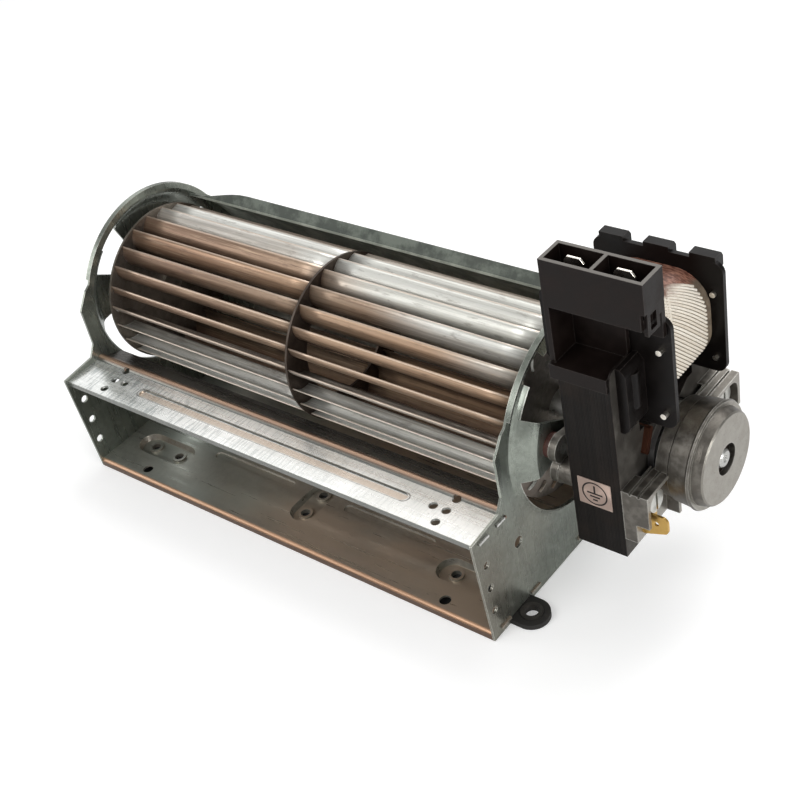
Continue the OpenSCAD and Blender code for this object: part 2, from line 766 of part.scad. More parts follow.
module leg_cap() {
    box_end = block_x + block_len - block_step_x;
    cap_end = stack_end - end_sheet_t - seat;
    across(-block_front, block_front - leg_in)
        translate([block_x, cap_low]) square([leg_wall, block_low - cap_low]);
    across(-leg_in - leg_wall, leg_wall) polygon([[block_x, cap_low], [cap_end, cap_low],
        [cap_end, back_wall_low], [box_end, back_wall_low], [box_end, block_low + eps], [block_x, block_low + eps]]);
    across(-stack_half - cap_proud, stack_half + cap_proud - leg_in)
        translate([block_x, cap_low]) square([cap_end - block_x, cap_high - cap_low]);
}

module terminal_housing() color("#161515")
    difference() {
        union() {
            housing_box();
            latch();
            leg_cap();
        }
        for (k = [0, 1]) across(-block_front + block_wall, block_depth - 2 * block_wall)
            translate([block_x + block_wall + k * (cell_len + block_wall), block_low + block_floor])
            square([cell_len, block_h]);
        for (x = spade_x) spade_shape(x, seat);
        on_axis(stack_x - seat) linear_extrude(stack_t + 2 * seat)
            translate([-stack_half - seat, window_low]) square([leg_w + 2 * seat, stack_high - window_low + seat]);
    }

spade_x = [block_x + block_wall + cell_len / 2, block_x + 2 * block_wall + cell_len * 1.5];

module spade_shape(x, grow)
    across(-block_front + block_depth / 2 - spade_t / 2 - grow, spade_t + 2 * grow)
        translate([x - spade_w / 2 - grow, spade_low - grow]) square([spade_w + 2 * grow, spade_top - spade_low]);

module front_spade_terminals() color("#d6d3c8")
    for (x = spade_x) spade_shape(x, 0);

// Brackets
module inner_bearing_bracket() color("#8f8f8b")
    difference() {
        union() {
            on_axis(bracket_x) linear_extrude(bracket_t) {
                circle(boss_r + bracket_t);
                for (a = spoke_at) rotate(a) bracket_arm(mount_pcr);
                for (s = [-1, 1]) rotate(atan2(s * screw_z, s * screw_y)) bracket_arm(norm([screw_y, screw_z]));
            }
            rod(inner_boss_x, inner_boss_len, boss_r);
            for (s = [-1, 1]) on_axis(bracket_x) translate(s * [screw_y, screw_z])
                cylinder(h = stack_x - bracket_x, r = screw_boss_r);
        }
        rod(inner_boss_x - 1, inner_boss_len + 2, bush_r);
        at_mounts(bracket_x - 1) cylinder(h = bracket_t + 2, r = mount_screw_r);
        for (s = [-1, 1]) on_axis(bracket_x - 1) translate(s * [screw_y, screw_z])
            cylinder(h = stack_x, r = screw_r);
    }

module bracket_arm(reach)
    translate([reach / 2, 0]) oblong(reach + mount_arm_w, mount_arm_w);

ear_h = 8.6;
ear_floor = 4.3;
ear_in = 11.5;
ear_out = stack_half - screw_y;
ear_low = -13;
ear_top = 5.7;
ear_wall = 1.25;
ear_hollow_r = 19.8;
pocket_top = 4.5;
pocket_round = 4;
rib_gap = 0.7;

// Drawn about its screw, local X pointing away from the axis. Two grooves leave three ribs on its top
module ear_block()
    difference() {
        translate([-ear_in, ear_low, 0]) cube([ear_in + ear_out, ear_top - ear_low, ear_h]);
        for (k = [1, 2]) translate([-ear_in - 1, ear_top - rib_gap, k * ear_h / 3 - rib_gap / 2])
            cube([ear_in + ear_out + 2, rib_gap + 1, rib_gap]);
    }

// Arched pocket, open at the bottom and towards the screw's side
module ear_pocket()
    translate([0, 0, ear_floor]) linear_extrude(ear_h) {
        translate([ear_wall - ear_in, ear_low - pocket_round - 1])
            rounded_box2d(0, 0, ear_in + ear_out - 2 * ear_wall, pocket_top - ear_low + pocket_round + 1, pocket_round);
        translate([0, ear_low - 1]) square([ear_out + 1, 8]);
    }

// At the front screw for side -1 and at the rear one for side 1
module at_screw(side, x)
    on_axis(x) translate(side * [screw_y, screw_z]) mirror([side < 0 ? 1 : 0, 0, 0]) children();

module at_screws(x)
    for (side = [-1, 1]) at_screw(side, x) children();

cup_wall = 1.6;
cup_rim = 4;
cup_bead = 8.5;
ridge_at = cup_h - 4;
face_r = 14;
face_hole_r = 5;
boss_depth = 9;

// Radius and reach past the stack: flared rim, slightly tapering side, ridge, and the raised face
module cup_profile() {
    rim_r = cup_r - 1.7;
    polygon([[rim_r - cup_wall, cup_rim], [rim_r, cup_rim], [rim_r + 0.2, cup_bead - 0.6], [rim_r + 0.8, cup_bead],
        [cup_r - 0.4, ridge_at - 0.6], [cup_r, ridge_at], [cup_r - 0.4, ridge_at + 0.7], [cup_r - 1.7, ridge_at + 0.5],
        [face_r + 0.9, cup_h - 1.6], [face_r + 0.5, cup_h - 0.5], [face_r, cup_h], [face_hole_r, cup_h],
        [face_hole_r, cup_h - 2], [bush_r, cup_h - 2], [bush_r, cup_h - boss_depth], [boss_r, cup_h - boss_depth],
        [boss_r, cup_h - 2.2], [face_r - 1.2, cup_h - 2.2], [cup_r - 2, ridge_at - 2], [rim_r - cup_wall, cup_rim + 1]]);
}

// The ears are hollowed towards the stack, clear of the shading rings
module outer_bearing_bracket() color("#8f8f8b") {
    on_axis(stack_end) rotate_extrude($fn = 96) cup_profile();
    difference() {
        at_screws(stack_end) ear_block();
        at_screws(stack_end) ear_pocket();
        on_axis(stack_end - 1) cylinder(h = cup_h, r = cup_r - 1.7 - cup_wall / 2, $fn = 96);
        on_axis(stack_end - 1) cylinder(h = shade_end + 1.2, r = ear_hollow_r, $fn = 96);
        at_screws(stack_end - 1) cylinder(h = cup_h, r = screw_r + 0.15);
    }
}

module inner_bearing_bush() color("#b98a4b")
    pipe(inner_boss_x + 0.8, bush_len, bush_r, shaft_r + run_gap);

module outer_bearing_bush() color("#b98a4b")
    pipe(cup_end - 2 - bush_len + 0.2, bush_len - 0.2, bush_r, shaft_r + run_gap);

module bearing_clips() color("#b9bbb8") {
    pipe(inner_boss_x + 0.8 + bush_len, 0.5, bush_r, shaft_r + 0.8);
    pipe(cup_end - 2 - bush_len - 0.4, 0.5, bush_r, shaft_r + 0.8);
}

// The front head clamps the earth tab on the ear's floor
floor_x = stack_end + ear_floor;
head_t = 2.6;
slot_w = 1;
slot_depth = 1.2;

module motor_screw(side, head_x) {
    at_screw(side, bracket_x) cylinder(h = head_x - bracket_x, r = screw_r);
    at_screw(side, head_x) difference() {
        cylinder(h = head_t, r = head_r);
        translate([-slot_w / 2, -head_r, head_t - slot_depth]) cube([slot_w, 2 * head_r, slot_depth + 1]);
    }
}

module motor_screws() color("#c4c6c4") {
    motor_screw(-1, floor_x + spade_t);
    motor_screw(1, floor_x);
}

// Brass earth tab: a base under the screw's head, and a blade that narrows to a flat terminal
earth_y = -screw_y - 3;
earth_low = -14.4;
earth_high = -6;
earth_z = -9.1;
earth_reach = 8.6;
earth_round = 1.8;
earth_base_w = 7;

module earth_tab() color("#b8923f")
    difference() {
        union() {
            on_axis(floor_x) linear_extrude(spade_t) translate([earth_y - spade_t / 2, earth_low])
                square([earth_base_w, -screw_z + 2.3 - earth_low]);
            on_axis(floor_x) translate([earth_y - spade_t / 2, 0, 0]) rotate([0, 90, 0])
                linear_extrude(spade_t) earth_blade();
        }
        at_screw(-1, floor_x - 1) cylinder(h = 4, r = screw_r + 0.1);
        on_axis(floor_x + earth_reach - 3.8) translate([earth_y, earth_z, 0]) rotate([0, 90, 0])
            cylinder(h = 4, r = 0.8, center = true);
    }

// Drawn from the base at the right to the rounded tip at the left
module earth_blade()
    hull() {
        translate([-1, earth_low]) square([1, earth_high - earth_low]);
        for (s = [-1, 1])
            translate([earth_round - earth_reach, earth_z + s * (spade_w / 2 - earth_round)]) circle(earth_round);
    }

label_t = 0.25;
label_in = 2.4;
label_z = -7.3;
label_size = [11, 9.8];

module earth_plate() color("#e8d9d4")
    across(-stack_half - label_t, label_t) translate([stack_x + label_in, label_z]) square(label_size);

// Rubber bushes and screws that hold the motor to the spokes
module motor_mount_bushes() color("#5a2f24")
    at_mounts(crown_x) difference() {
        cylinder(h = mount_bush_t, r = mount_bush_r);
        translate([0, 0, -1]) cylinder(h = mount_bush_t + 2, r = mount_screw_r);
    }

module motor_mount_screws() color("#b9bbb8")
    at_mounts(0) {
        translate([0, 0, crown_x - sheet_t - mount_head_t]) cylinder(h = mount_head_t, r = mount_head_r);
        translate([0, 0, crown_x - sheet_t - eps]) cylinder(h = sheet_t + mount_bush_t + bracket_t, r = mount_screw_r);
    }

// Foot under the right end
foot_y = -6;
foot_reach = 5.1;
foot_x = plate_x + foot_reach;
foot_in = plate_x - foot_reach;
foot_w = 12;
foot_t = 1.9;
foot_hole_r = 2.3;
foot_ring_r = 3.7;
foot_rivet_x = plate_x - 2.3;
rivet_r = 1;

module mounting_foot() color("#1d1c1b")
    linear_extrude(foot_t) difference() {
        union() {
            translate([foot_in, foot_y - foot_w / 2]) square([foot_x - foot_in, foot_w]);
            translate([foot_x, foot_y]) circle(foot_w / 2);
        }
        translate([foot_x, foot_y]) circle(foot_ring_r);
        translate([foot_rivet_x, foot_y]) circle(rivet_r);
    }

module foot_grommet() color("#2c2b2a")
    translate([foot_x, foot_y, 0]) linear_extrude(foot_t + 0.6) ring2d(foot_ring_r, foot_hole_r);

module foot_rivet() color("#a9aca9")
    translate([foot_rivet_x, foot_y, 0.3]) cylinder(h = base_low - 0.3, r = rivet_r);

scroll_housing();
outlet_shelf();
left_end_plate();
right_end_plate();
impeller_left_disc();
impeller_middle_ring();
impeller_right_disc();
impeller_left_blades();
impeller_right_blades();
left_stub_axle();
impeller_hub();
hub_grub_screw();
left_bearing_bush();
left_bearing_grommet();
left_bearing_retainer();
motor_shaft();
rotor_core();
rotor_end_rings();
stator_core();
core_bridge();
shading_rings();
coil_bobbin();
coil_winding();
coil_pins();
terminal_housing();
front_spade_terminals();
inner_bearing_bracket();
outer_bearing_bracket();
inner_bearing_bush();
outer_bearing_bush();
bearing_clips();
motor_screws();
earth_tab();
earth_plate();
motor_mount_bushes();
motor_mount_screws();
mounting_foot();
foot_grommet();
foot_rivet();
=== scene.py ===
"""Looks of a two-stage tangential blower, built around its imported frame."""

import math

import bmesh
import bpy
from mathutils import Matrix, Vector


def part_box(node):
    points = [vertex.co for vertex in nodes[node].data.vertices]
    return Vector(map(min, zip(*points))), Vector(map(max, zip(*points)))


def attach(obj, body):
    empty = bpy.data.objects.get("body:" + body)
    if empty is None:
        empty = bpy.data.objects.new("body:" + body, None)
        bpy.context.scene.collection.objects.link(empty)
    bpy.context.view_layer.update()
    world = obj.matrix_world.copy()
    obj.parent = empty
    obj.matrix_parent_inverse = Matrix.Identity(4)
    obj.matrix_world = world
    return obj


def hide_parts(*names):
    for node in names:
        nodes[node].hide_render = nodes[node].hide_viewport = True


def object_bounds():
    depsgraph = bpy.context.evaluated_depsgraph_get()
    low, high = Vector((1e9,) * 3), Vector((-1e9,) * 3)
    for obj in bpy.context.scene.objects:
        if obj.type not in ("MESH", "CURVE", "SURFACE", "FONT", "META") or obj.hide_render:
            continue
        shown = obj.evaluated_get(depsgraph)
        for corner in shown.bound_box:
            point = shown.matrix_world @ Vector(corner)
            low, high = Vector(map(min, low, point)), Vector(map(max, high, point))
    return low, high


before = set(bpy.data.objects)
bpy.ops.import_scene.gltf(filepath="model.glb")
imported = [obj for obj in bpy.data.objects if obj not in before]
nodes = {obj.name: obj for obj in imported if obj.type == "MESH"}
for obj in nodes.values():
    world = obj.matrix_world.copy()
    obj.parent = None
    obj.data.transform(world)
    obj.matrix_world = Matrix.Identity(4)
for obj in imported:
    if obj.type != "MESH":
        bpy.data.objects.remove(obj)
cad_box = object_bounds()
MM = 0.001

# Camera at the photograph's angle
CAMERA_PLACE = Vector((0.2996, -0.2400, 0.3268))
CAMERA_AZIMUTH = math.radians(45.67)
CAMERA_ELEVATION = math.radians(37.02)
CAMERA_ROLL = math.radians(-12.5)
CAMERA_LENS = 63.27

# Room and floor
WORLD_LEVEL = 0.42
SKY_LOW, SKY_HIGH = 0.26, 0.62
SHEET_LIGHT_WAY = (-0.5, 0.62, 0.6)
SHEET_LIGHT_LEVEL = 1.0
FLOOR_HALF = 4.0
FLOOR_DROP = 0.2 * MM
FLOOR_COLOUR, FLOOR_PAINTED_SHADOW = (0.9, 0.9, 0.9, 1), (0.04, 0.04, 0.04, 1)
FLOOR_GLOW, FAR_FLOOR_GLOW = 0.25, 0.62
GLOW_RISES_FROM, GLOW_RISES_TO = 0.5, 1.6
FLOOR_SHADE_INSET = 6 * MM

# Impeller, as the frame has it
RING_LOW, RING_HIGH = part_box("impeller_middle_ring")
AXIS = (RING_LOW + RING_HIGH) / 2
DISC_T = RING_HIGH.x - RING_LOW.x
IMPELLER_R = RING_HIGH.z - AXIS.z
STAGE_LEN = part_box("impeller_right_disc")[1].x - DISC_T / 2
BLADE_COUNT = 24
BLADE_T = 0.45 * MM
BLADE_OUT_R = IMPELLER_R - 0.6 * MM
BLADE_IN_R = BLADE_OUT_R - 7.1 * MM
BLADE_EXIT = math.radians(28)
LEFT_PHASE = math.radians(2.8)
RIGHT_PHASE = math.radians(4.4)
TAB_IN_R = BLADE_IN_R + 2.2 * MM
TAB_OUT_R = BLADE_OUT_R - 1.4 * MM
TAB_LEN = DISC_T + 0.7 * MM
BLADE_STEPS, TAB_STEPS = 10, 4
BLADE_ROWS = 8

# Where the blades get a painted silver highlight, as angles round the axis
HIGHLIGHT_TOP = math.radians(80)
HIGHLIGHT_WIDENS = math.radians(46)
HIGHLIGHT_BACK = math.radians(45)
HIGHLIGHT_LOW, HIGHLIGHT_LOW_END = math.radians(170), math.radians(220)
HIGHLIGHT_SOFT = math.radians(9)

# Marks and painted light on the sheets, and the sockets' rim with its painted highlight
HEM_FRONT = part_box("scroll_housing")[0].y
HEM_SPLIT = 2.2 * MM
SHELF_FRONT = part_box("outlet_shelf")[0].y
GROOVE_MIDDLE = SHELF_FRONT + 8.0 * MM
GROOVE_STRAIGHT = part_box("right_end_plate")[0].x - 32 * MM
SOCKET_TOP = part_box("terminal_housing")[1].z

# Threads of the coil's tape
COIL_CORNER = 11 * MM
THREAD_PITCH = 1.36 * MM
THREAD_R = 0.42 * MM
THREADS_FROM = 5 * MM

# Flat terminals
SPADE_W = 6.3 * MM
SPADE_CUT, SPADE_TIP_DOWN = 1.1 * MM, 0.4 * MM
SPADE_HOLE_R, SPADE_HOLE_DOWN = 0.9 * MM, 4 * MM

# The shaft's turned end
SHAFT_R, SHAFT_CHAMFER = 2.9 * MM, 0.5 * MM
SHAFT_LAP, SHAFT_BELOW_CUP = 0.3 * MM, 0.4 * MM
CENTRE_R, CENTRE_FLOOR_R, CENTRE_DEPTH = 1.2 * MM, 0.8 * MM, 0.7 * MM

# The left dome and its window
DOME_H, DOME_FOOT_R, DOME_TOP_R = 7.2 * MM, 34.6 * MM, 27 * MM
SHEET_T = 0.8 * MM
WINDOW_IN_R, WINDOW_OUT_R = 14 * MM, 32.2 * MM
WEB_FROM, WEB_TO = math.radians(68), math.radians(111)

# Earth sign
SIGN_LINE = 0.6 * MM
SIGN_BARS = (5.2 * MM, 3.4 * MM, 1.6 * MM)
SIGN_BAR_PITCH = 1.2 * MM
SIGN_STEM, SIGN_STEM_UP = 2.8 * MM, 1.6 * MM
SIGN_RING = (3.8 * MM, 4.3 * MM)
PRINT_OUT, PRINT_IN = 0.03 * MM, 0.02 * MM
ROUND_STEPS = 40


# Short ways to build node trees
def add(tree, kind, inputs=None, **settings):
    """Adds a node; inputs gives values or other nodes' sockets by the socket's name or number."""
    node = tree.nodes.new(kind)
    for name, value in settings.items():
        setattr(node, name, value)
    for key, value in (inputs or {}).items():
        if isinstance(value, bpy.types.NodeSocket):
            tree.links.new(value, node.inputs[key])
        else:
            node.inputs[key].default_value = value
    return node


def math_node(tree, operation, a, b=0.0, c=0.0, clamp=False):
    node = add(tree, "ShaderNodeMath", {0: a, 1: b, 2: c}, operation=operation, use_clamp=clamp)
    return node.outputs[0]


def times(tree, a, b, **settings):
    return math_node(tree, "MULTIPLY", a, b, **settings)


def blend_value(tree, factor, a, b):
    return add(tree, "ShaderNodeMix", {0: factor, 2: a, 3: b}, data_type="FLOAT").outputs[0]


def mix(tree, factor, a, b):
    return add(tree, "ShaderNodeMix", {0: factor, 6: a, 7: b}, data_type="RGBA").outputs[2]


def spread(tree, value, low, high, to_low=0.0, to_high=1.0, smooth=True):
    """Maps low..high onto to_low..to_high, and holds its ends."""
    kind = "SMOOTHSTEP" if smooth else "LINEAR"
    node = add(tree, "ShaderNodeMapRange", {0: value, 1: low, 2: high, 3: to_low, 4: to_high},
               interpolation_type=kind)
    return node.outputs[0]


def component(tree, vector, axis):
    return add(tree, "ShaderNodeSeparateXYZ", {0: vector}).outputs[axis]


def object_place(tree, scale=(1, 1, 1), centre=(0, 0, 0)):
    """Object coordinates in metres, moved by -centre and then stretched."""
    place = add(tree, "ShaderNodeTexCoord").outputs["Object"]
    moved = add(tree, "ShaderNodeVectorMath", {0: place, 1: Vector(centre)}, operation="SUBTRACT")
    return add(tree, "ShaderNodeVectorMath", {0: moved.outputs[0], 1: scale},
               operation="MULTIPLY").outputs[0]


def place_along(tree, axis):
    """The Object coordinate along X, Y or Z (0, 1 or 2), in metres."""
    return component(tree, object_place(tree), axis)


def facing(tree, axis):
    """How far the surface faces towards plus X, Y or Z: 1 straight at it, -1 straight away."""
    return component(tree, add(tree, "ShaderNodeTexCoord").outputs["Normal"], axis)


def band(tree, value, low, high, soft):
    """1 between low and high, with soft ends."""
    rise = spread(tree, value, low, low + soft)
    return times(tree, rise, spread(tree, value, high, high + soft, 1.0, 0.0))


def noise(tree, vector, scale, detail=3.0, rough=0.55, twist=0.0):
    node = add(tree, "ShaderNodeTexNoise", {"Vector": vector, "Scale": scale, "Detail": detail,
                                            "Roughness": rough, "Distortion": twist})
    return node.outputs[0]


def rgb(red, green, blue):
    """An sRGB colour, 0 to 255, as the linear one that a shader takes."""
    def linear(v):
        v /= 255
        return v / 12.92 if v <= 0.04045 else ((v + 0.055) / 1.055) ** 2.4
    return (linear(red), linear(green), linear(blue), 1.0)


def new_material(name):
    """A material, its tree and its Principled shader."""
    material = bpy.data.materials.new(name)
    material.use_nodes = True
    tree = material.node_tree
    return material, tree, tree.nodes["Principled BSDF"]


def wire(tree, shader, **sockets):
    """Sets or links the shader's sockets: base_color=..., roughness=..."""
    for name, value in sockets.items():
        socket = shader.inputs[name.replace("_", " ").title()]
        if isinstance(value, bpy.types.NodeSocket):
            tree.links.new(value, socket)
        else:
            socket.default_value = value


def bump(tree, shader, height, strength, distance=0.2 * MM):
    """Links a height to the shader's normal."""
    node = add(tree, "ShaderNodeBump", {"Height": height, "Strength": strength, "Distance": distance})
    tree.links.new(node.outputs[0], shader.inputs["Normal"])


# Camera, lamps and floor
def make_camera():
    """The camera at the photograph's place and turn, which its azimuth, elevation and roll give."""
    a, e, roll = CAMERA_AZIMUTH, CAMERA_ELEVATION, CAMERA_ROLL
    back = Vector((math.sin(a) * math.cos(e), -math.cos(a) * math.cos(e), math.sin(e)))
    level = Vector((math.cos(a), math.sin(a), 0))
    upright = back.cross(level)
    right = math.cos(roll) * level + math.sin(roll) * upright
    up = math.cos(roll) * upright - math.sin(roll) * level
    camera = bpy.data.objects.new("camera", bpy.data.cameras.new("camera"))
    bpy.context.scene.collection.objects.link(camera)
    turn = Matrix((right, up, back)).transposed()
    camera.matrix_world = Matrix.Translation(CAMERA_PLACE) @ turn.to_4x4()
    camera.data.lens = CAMERA_LENS
    camera.data.clip_start = 0.01
    bpy.context.scene.camera = camera


def add_lamp(name, place, power, size):
    """A round soft lamp that points at the middle of the object."""
    lamp = bpy.data.lights.new(name, "AREA")
    lamp.shape = "DISK"
    lamp.size = size
    lamp.energy = power
    holder = bpy.data.objects.new(name, lamp)
    bpy.context.scene.collection.objects.link(holder)
    middle = (cad_box[0] + cad_box[1]) / 2
    holder.location = place
    holder.rotation_euler = (middle - Vector(place)).to_track_quat("-Z", "Y").to_euler()


def light_the_studio():
    add_lamp("overhead_softbox", (0.05, 0.55, 0.85), 4.0, 0.7)
    add_lamp("front_softbox", (-0.15, -0.8, 0.7), 3.8, 0.6)
    add_lamp("left_fill", (-0.75, -0.45, 0.35), 1.4, 0.5)
    add_lamp("right_fill", (0.75, -0.15, 0.35), 2.4, 0.4)
    world = bpy.data.worlds.new("studio")
    world.use_nodes = True
    bpy.context.scene.world = world
    tree = world.node_tree
    tree.nodes.clear()
    path = add(tree, "ShaderNodeLightPath")
    shown = math_node(tree, "MAXIMUM", path.outputs["Is Camera Ray"],
                      path.outputs["Is Transmission Ray"])
    level = blend_value(tree, path.outputs["Is Glossy Ray"], WORLD_LEVEL, gloss_level(tree))
    level = blend_value(tree, shown, level, 1.0)
    background = add(tree, "ShaderNodeBackground", {"Color": (1, 1, 1, 1), "Strength": level})
    add(tree, "ShaderNodeOutputWorld", {"Surface": background.outputs[0]})


def gloss_level(tree):
    """What metals mirror: a dim room, lighter upwards, with one broad light behind the object."""
    way = add(tree, "ShaderNodeTexCoord").outputs["Generated"]
    room = spread(tree, component(tree, way, 2), 0.0, 0.9, SKY_LOW, SKY_HIGH)
    toward = add(tree, "ShaderNodeVectorMath", {0: way, 1: Vector(SHEET_LIGHT_WAY).normalized()},
                 operation="DOT_PRODUCT").outputs["Value"]
    return math_node(tree, "ADD", room, spread(tree, toward, 0.86, 0.985, 0.0, SHEET_LIGHT_LEVEL))


def make_floor():
    """Pale floor that glows for the camera, and more so far off; under the part it has a painted shadow,
    dark and without glow.
    """
    mesh = bpy.data.meshes.new("floor")
    half = FLOOR_HALF
    low = cad_box[0].z - FLOOR_DROP
    corners = [(-half, -half, low), (half, -half, low), (half, half, low), (-half, half, low)]
    mesh.from_pydata(corners, [], [(0, 1, 2, 3)])
    floor = bpy.data.objects.new("floor", mesh)
    bpy.context.scene.collection.objects.link(floor)
    material, tree, shader = new_material("pale_floor")
    seen = add(tree, "ShaderNodeLightPath").outputs["Is Camera Ray"]
    front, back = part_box("scroll_housing")
    inset = FLOOR_SHADE_INSET
    # Painted shadow: under the part the floor is dark and does not glow.
    shadow_under_part = times(tree, band(tree, place_along(tree, 0), front.x + inset, back.x - 2 * inset, inset),
                  band(tree, place_along(tree, 1), front.y + inset / 3, back.y - 4 * inset, inset / 3))
    distance = add(tree, "ShaderNodeVectorMath", {0: object_place(tree)}, operation="LENGTH")
    level = spread(tree, distance.outputs["Value"], GLOW_RISES_FROM, GLOW_RISES_TO, FLOOR_GLOW,
                   FAR_FLOOR_GLOW)
    glow = times(tree, seen, blend_value(tree, shadow_under_part, level, 0.0))
    wire(tree, shader, base_color=mix(tree, shadow_under_part, FLOOR_COLOUR, FLOOR_PAINTED_SHADOW), roughness=0.9,
         emission_color=(1, 1, 1, 1), emission_strength=glow)
    mesh.materials.append(material)


# Shader groups that several finishes share
def new_group(name, inputs, outputs):
    tree = bpy.data.node_groups.new(name, "ShaderNodeTree")
    for label, kind, value in inputs:
        socket = tree.interface.new_socket(label, in_out="INPUT", socket_type=kind)
        socket.default_value = value
    for label, kind in outputs:
        tree.interface.new_socket(label, in_out="OUTPUT", socket_type=kind)
    return tree, tree.nodes.new("NodeGroupInput"), tree.nodes.new("NodeGroupOutput")


def use_group(tree, group, inputs):
    return add(tree, "ShaderNodeGroup", inputs, node_tree=group).outputs


def edge_wear(tree, radius, break_up):
    return use_group(tree, EDGE_WEAR, {"Radius": radius, "Break Up": break_up})["Mask"]


def brushed_grain(tree, stretch):
    return use_group(tree, BRUSHED_GRAIN, {"Stretch": stretch, "Scale": 1.0})


def stored_value(tree, name):
    """A number that the piece's mesh carries."""
    return add(tree, "ShaderNodeAttribute", attribute_name=name).outputs["Fac"]


def make_edge_wear():
    """Mask that is 1 on convex and folded edges, broken up by small noise."""
    tree, start, end = new_group(
        "edge_wear",
        [("Radius", "NodeSocketFloat", 0.5 * MM), ("Break Up", "NodeSocketFloat", 0.5)],
        [("Mask", "NodeSocketFloat")])
    rounded = add(tree, "ShaderNodeBevel", {"Radius": start.outputs["Radius"]}, samples=6)
    flat = add(tree, "ShaderNodeNewGeometry").outputs["Normal"]
    same = add(tree, "ShaderNodeVectorMath", {0: rounded.outputs[0], 1: flat}, operation="DOT_PRODUCT")
    turned = math_node(tree, "SUBTRACT", 1.0, same.outputs["Value"])
    mask = spread(tree, turned, 0.02, 0.22)
    chips = noise(tree, object_place(tree), 900.0, 3.0)
    broken = spread(tree, chips, 0.42, 0.6)
    kept = math_node(tree, "MULTIPLY_ADD", start.outputs["Break Up"],
                     math_node(tree, "SUBTRACT", broken, 1.0), 1.0)
    tree.links.new(times(tree, mask, kept, clamp=True), end.inputs["Mask"])
    return tree


def make_brushed_grain():
    """Streaks along one axis: Stretch is large across the streaks and small along them."""
    tree, start, end = new_group(
        "brushed_grain",
        [("Stretch", "NodeSocketVector", (1, 1, 1)), ("Scale", "NodeSocketFloat", 1.0)],
        [("Streaks", "NodeSocketFloat"), ("Fine", "NodeSocketFloat")])
    place = add(tree, "ShaderNodeTexCoord").outputs["Object"]
    stretched = add(tree, "ShaderNodeVectorMath", {0: place, 1: start.outputs["Stretch"]},
                    operation="MULTIPLY").outputs[0]
    tree.links.new(noise(tree, stretched, start.outputs["Scale"], 5.0, 0.6), end.inputs["Streaks"])
    fine_scale = times(tree, start.outputs["Scale"], 4.0)
    tree.links.new(noise(tree, stretched, fine_scale, 2.0, 0.5), end.inputs["Fine"])
    return tree


def make_zinc_bloom():
    """Tone of a zinc coat, about 0.5: soft clouds, faint fine crystals and small dark specks."""
    tree, start, end = new_group(
        "zinc_bloom",
        [("Scale", "NodeSocketFloat", 900.0)],
        [("Clouds", "NodeSocketFloat"), ("Specks", "NodeSocketFloat")])
    place = object_place(tree)
    cells = add(tree, "ShaderNodeTexVoronoi", {"Vector": place, "Scale": start.outputs["Scale"],
                                               "Randomness": 1.0}, feature="F1")
    tone = add(tree, "ShaderNodeSeparateColor", {0: cells.outputs["Color"]}).outputs[0]
    soft = times(tree, noise(tree, place, 45.0, 3.0, 0.5), 0.8)
    fine = math_node(tree, "MULTIPLY_ADD", noise(tree, place, 420.0, 2.0, 0.5), 0.2, soft)
    tree.links.new(math_node(tree, "MULTIPLY_ADD", tone, 0.1, fine), end.inputs["Clouds"])
    speck = noise(tree, place, 1400.0, 2.0, 0.6)
    tree.links.new(spread(tree, speck, 0.68, 0.74), end.inputs["Specks"])
    return tree


EDGE_WEAR = make_edge_wear()
BRUSHED_GRAIN = make_brushed_grain()
ZINC_BLOOM = make_zinc_bloom()


# Finishes
def zinc_sheet(name, light, dark, warm, warm_amount, stretch, edge, roughness, metallic, touches=(),
               dull_and_painted_light=None):
    """Galvanised sheet: soft zinc tone, fine brushed streaks, warm smears and bright edges.

    touches are functions of (tree, base) that give the base colour with one local tone added.
    The last argument is a function of (tree) that gives the mask and tone of dull, rough places and of
    painted light."""
    material, tree, shader = new_material(name)
    bloom = use_group(tree, ZINC_BLOOM, {"Scale": 900.0})
    grain = brushed_grain(tree, stretch)
    base = mix(tree, spread(tree, bloom["Clouds"], 0.36, 0.74), dark, light)
    base = mix(tree, spread(tree, grain["Streaks"], 0.4, 0.7, 0.0, 0.3), base, light)
    base = mix(tree, spread(tree, grain["Fine"], 0.5, 0.75, 0.0, 0.25), base, dark)
    smear = spread(tree, noise(tree, object_place(tree), 14.0, 2.0, 0.5, 0.3), 0.45, 0.75)
    base = mix(tree, times(tree, smear, warm_amount), base, warm)
    base = mix(tree, times(tree, bloom["Specks"], 0.35), base, rgb(40, 38, 34))
    wear = edge_wear(tree, 0.5 * MM, 0.35)
    base = mix(tree, times(tree, wear, 0.8), base, edge)
    for touch in touches:
        base = touch(tree, base)
    rough = spread(tree, grain["Streaks"], 0.3, 0.7, *roughness)
    if dull_and_painted_light:
        mask, tone = dull_and_painted_light(tree)
        base = mix(tree, mask, base, tone)
        rough = blend_value(tree, mask, rough, 0.6)
        metallic = blend_value(tree, mask, metallic, 0.3)
    wire(tree, shader, base_color=base, metallic=metallic, roughness=rough)
    height = math_node(tree, "MULTIPLY_ADD", grain["Fine"], 0.5, bloom["Clouds"])
    bump(tree, shader, height, 0.12)
    return material


def copper_hem(tree, base):
    """The base sheet's front fold: copper, with a painted highlight along its top, brown below."""
    at_front = band(tree, place_along(tree, 1), HEM_FRONT - 1 * MM, HEM_FRONT + 1.1 * MM, 0.4 * MM)
    streak = noise(tree, object_place(tree, (60, 900, 900)), 1.0, 3.0)
    height = math_node(tree, "MULTIPLY_ADD", streak, 0.6 * MM, place_along(tree, 2))
    # Painted highlight: the lighter copper above the split height along the fold's top.
    tone = mix(tree, spread(tree, height, HEM_SPLIT, HEM_SPLIT + 0.4 * MM), rgb(96, 72, 57),
               rgb(192, 152, 122))
    return mix(tree, times(tree, at_front, 0.9), base, tone)


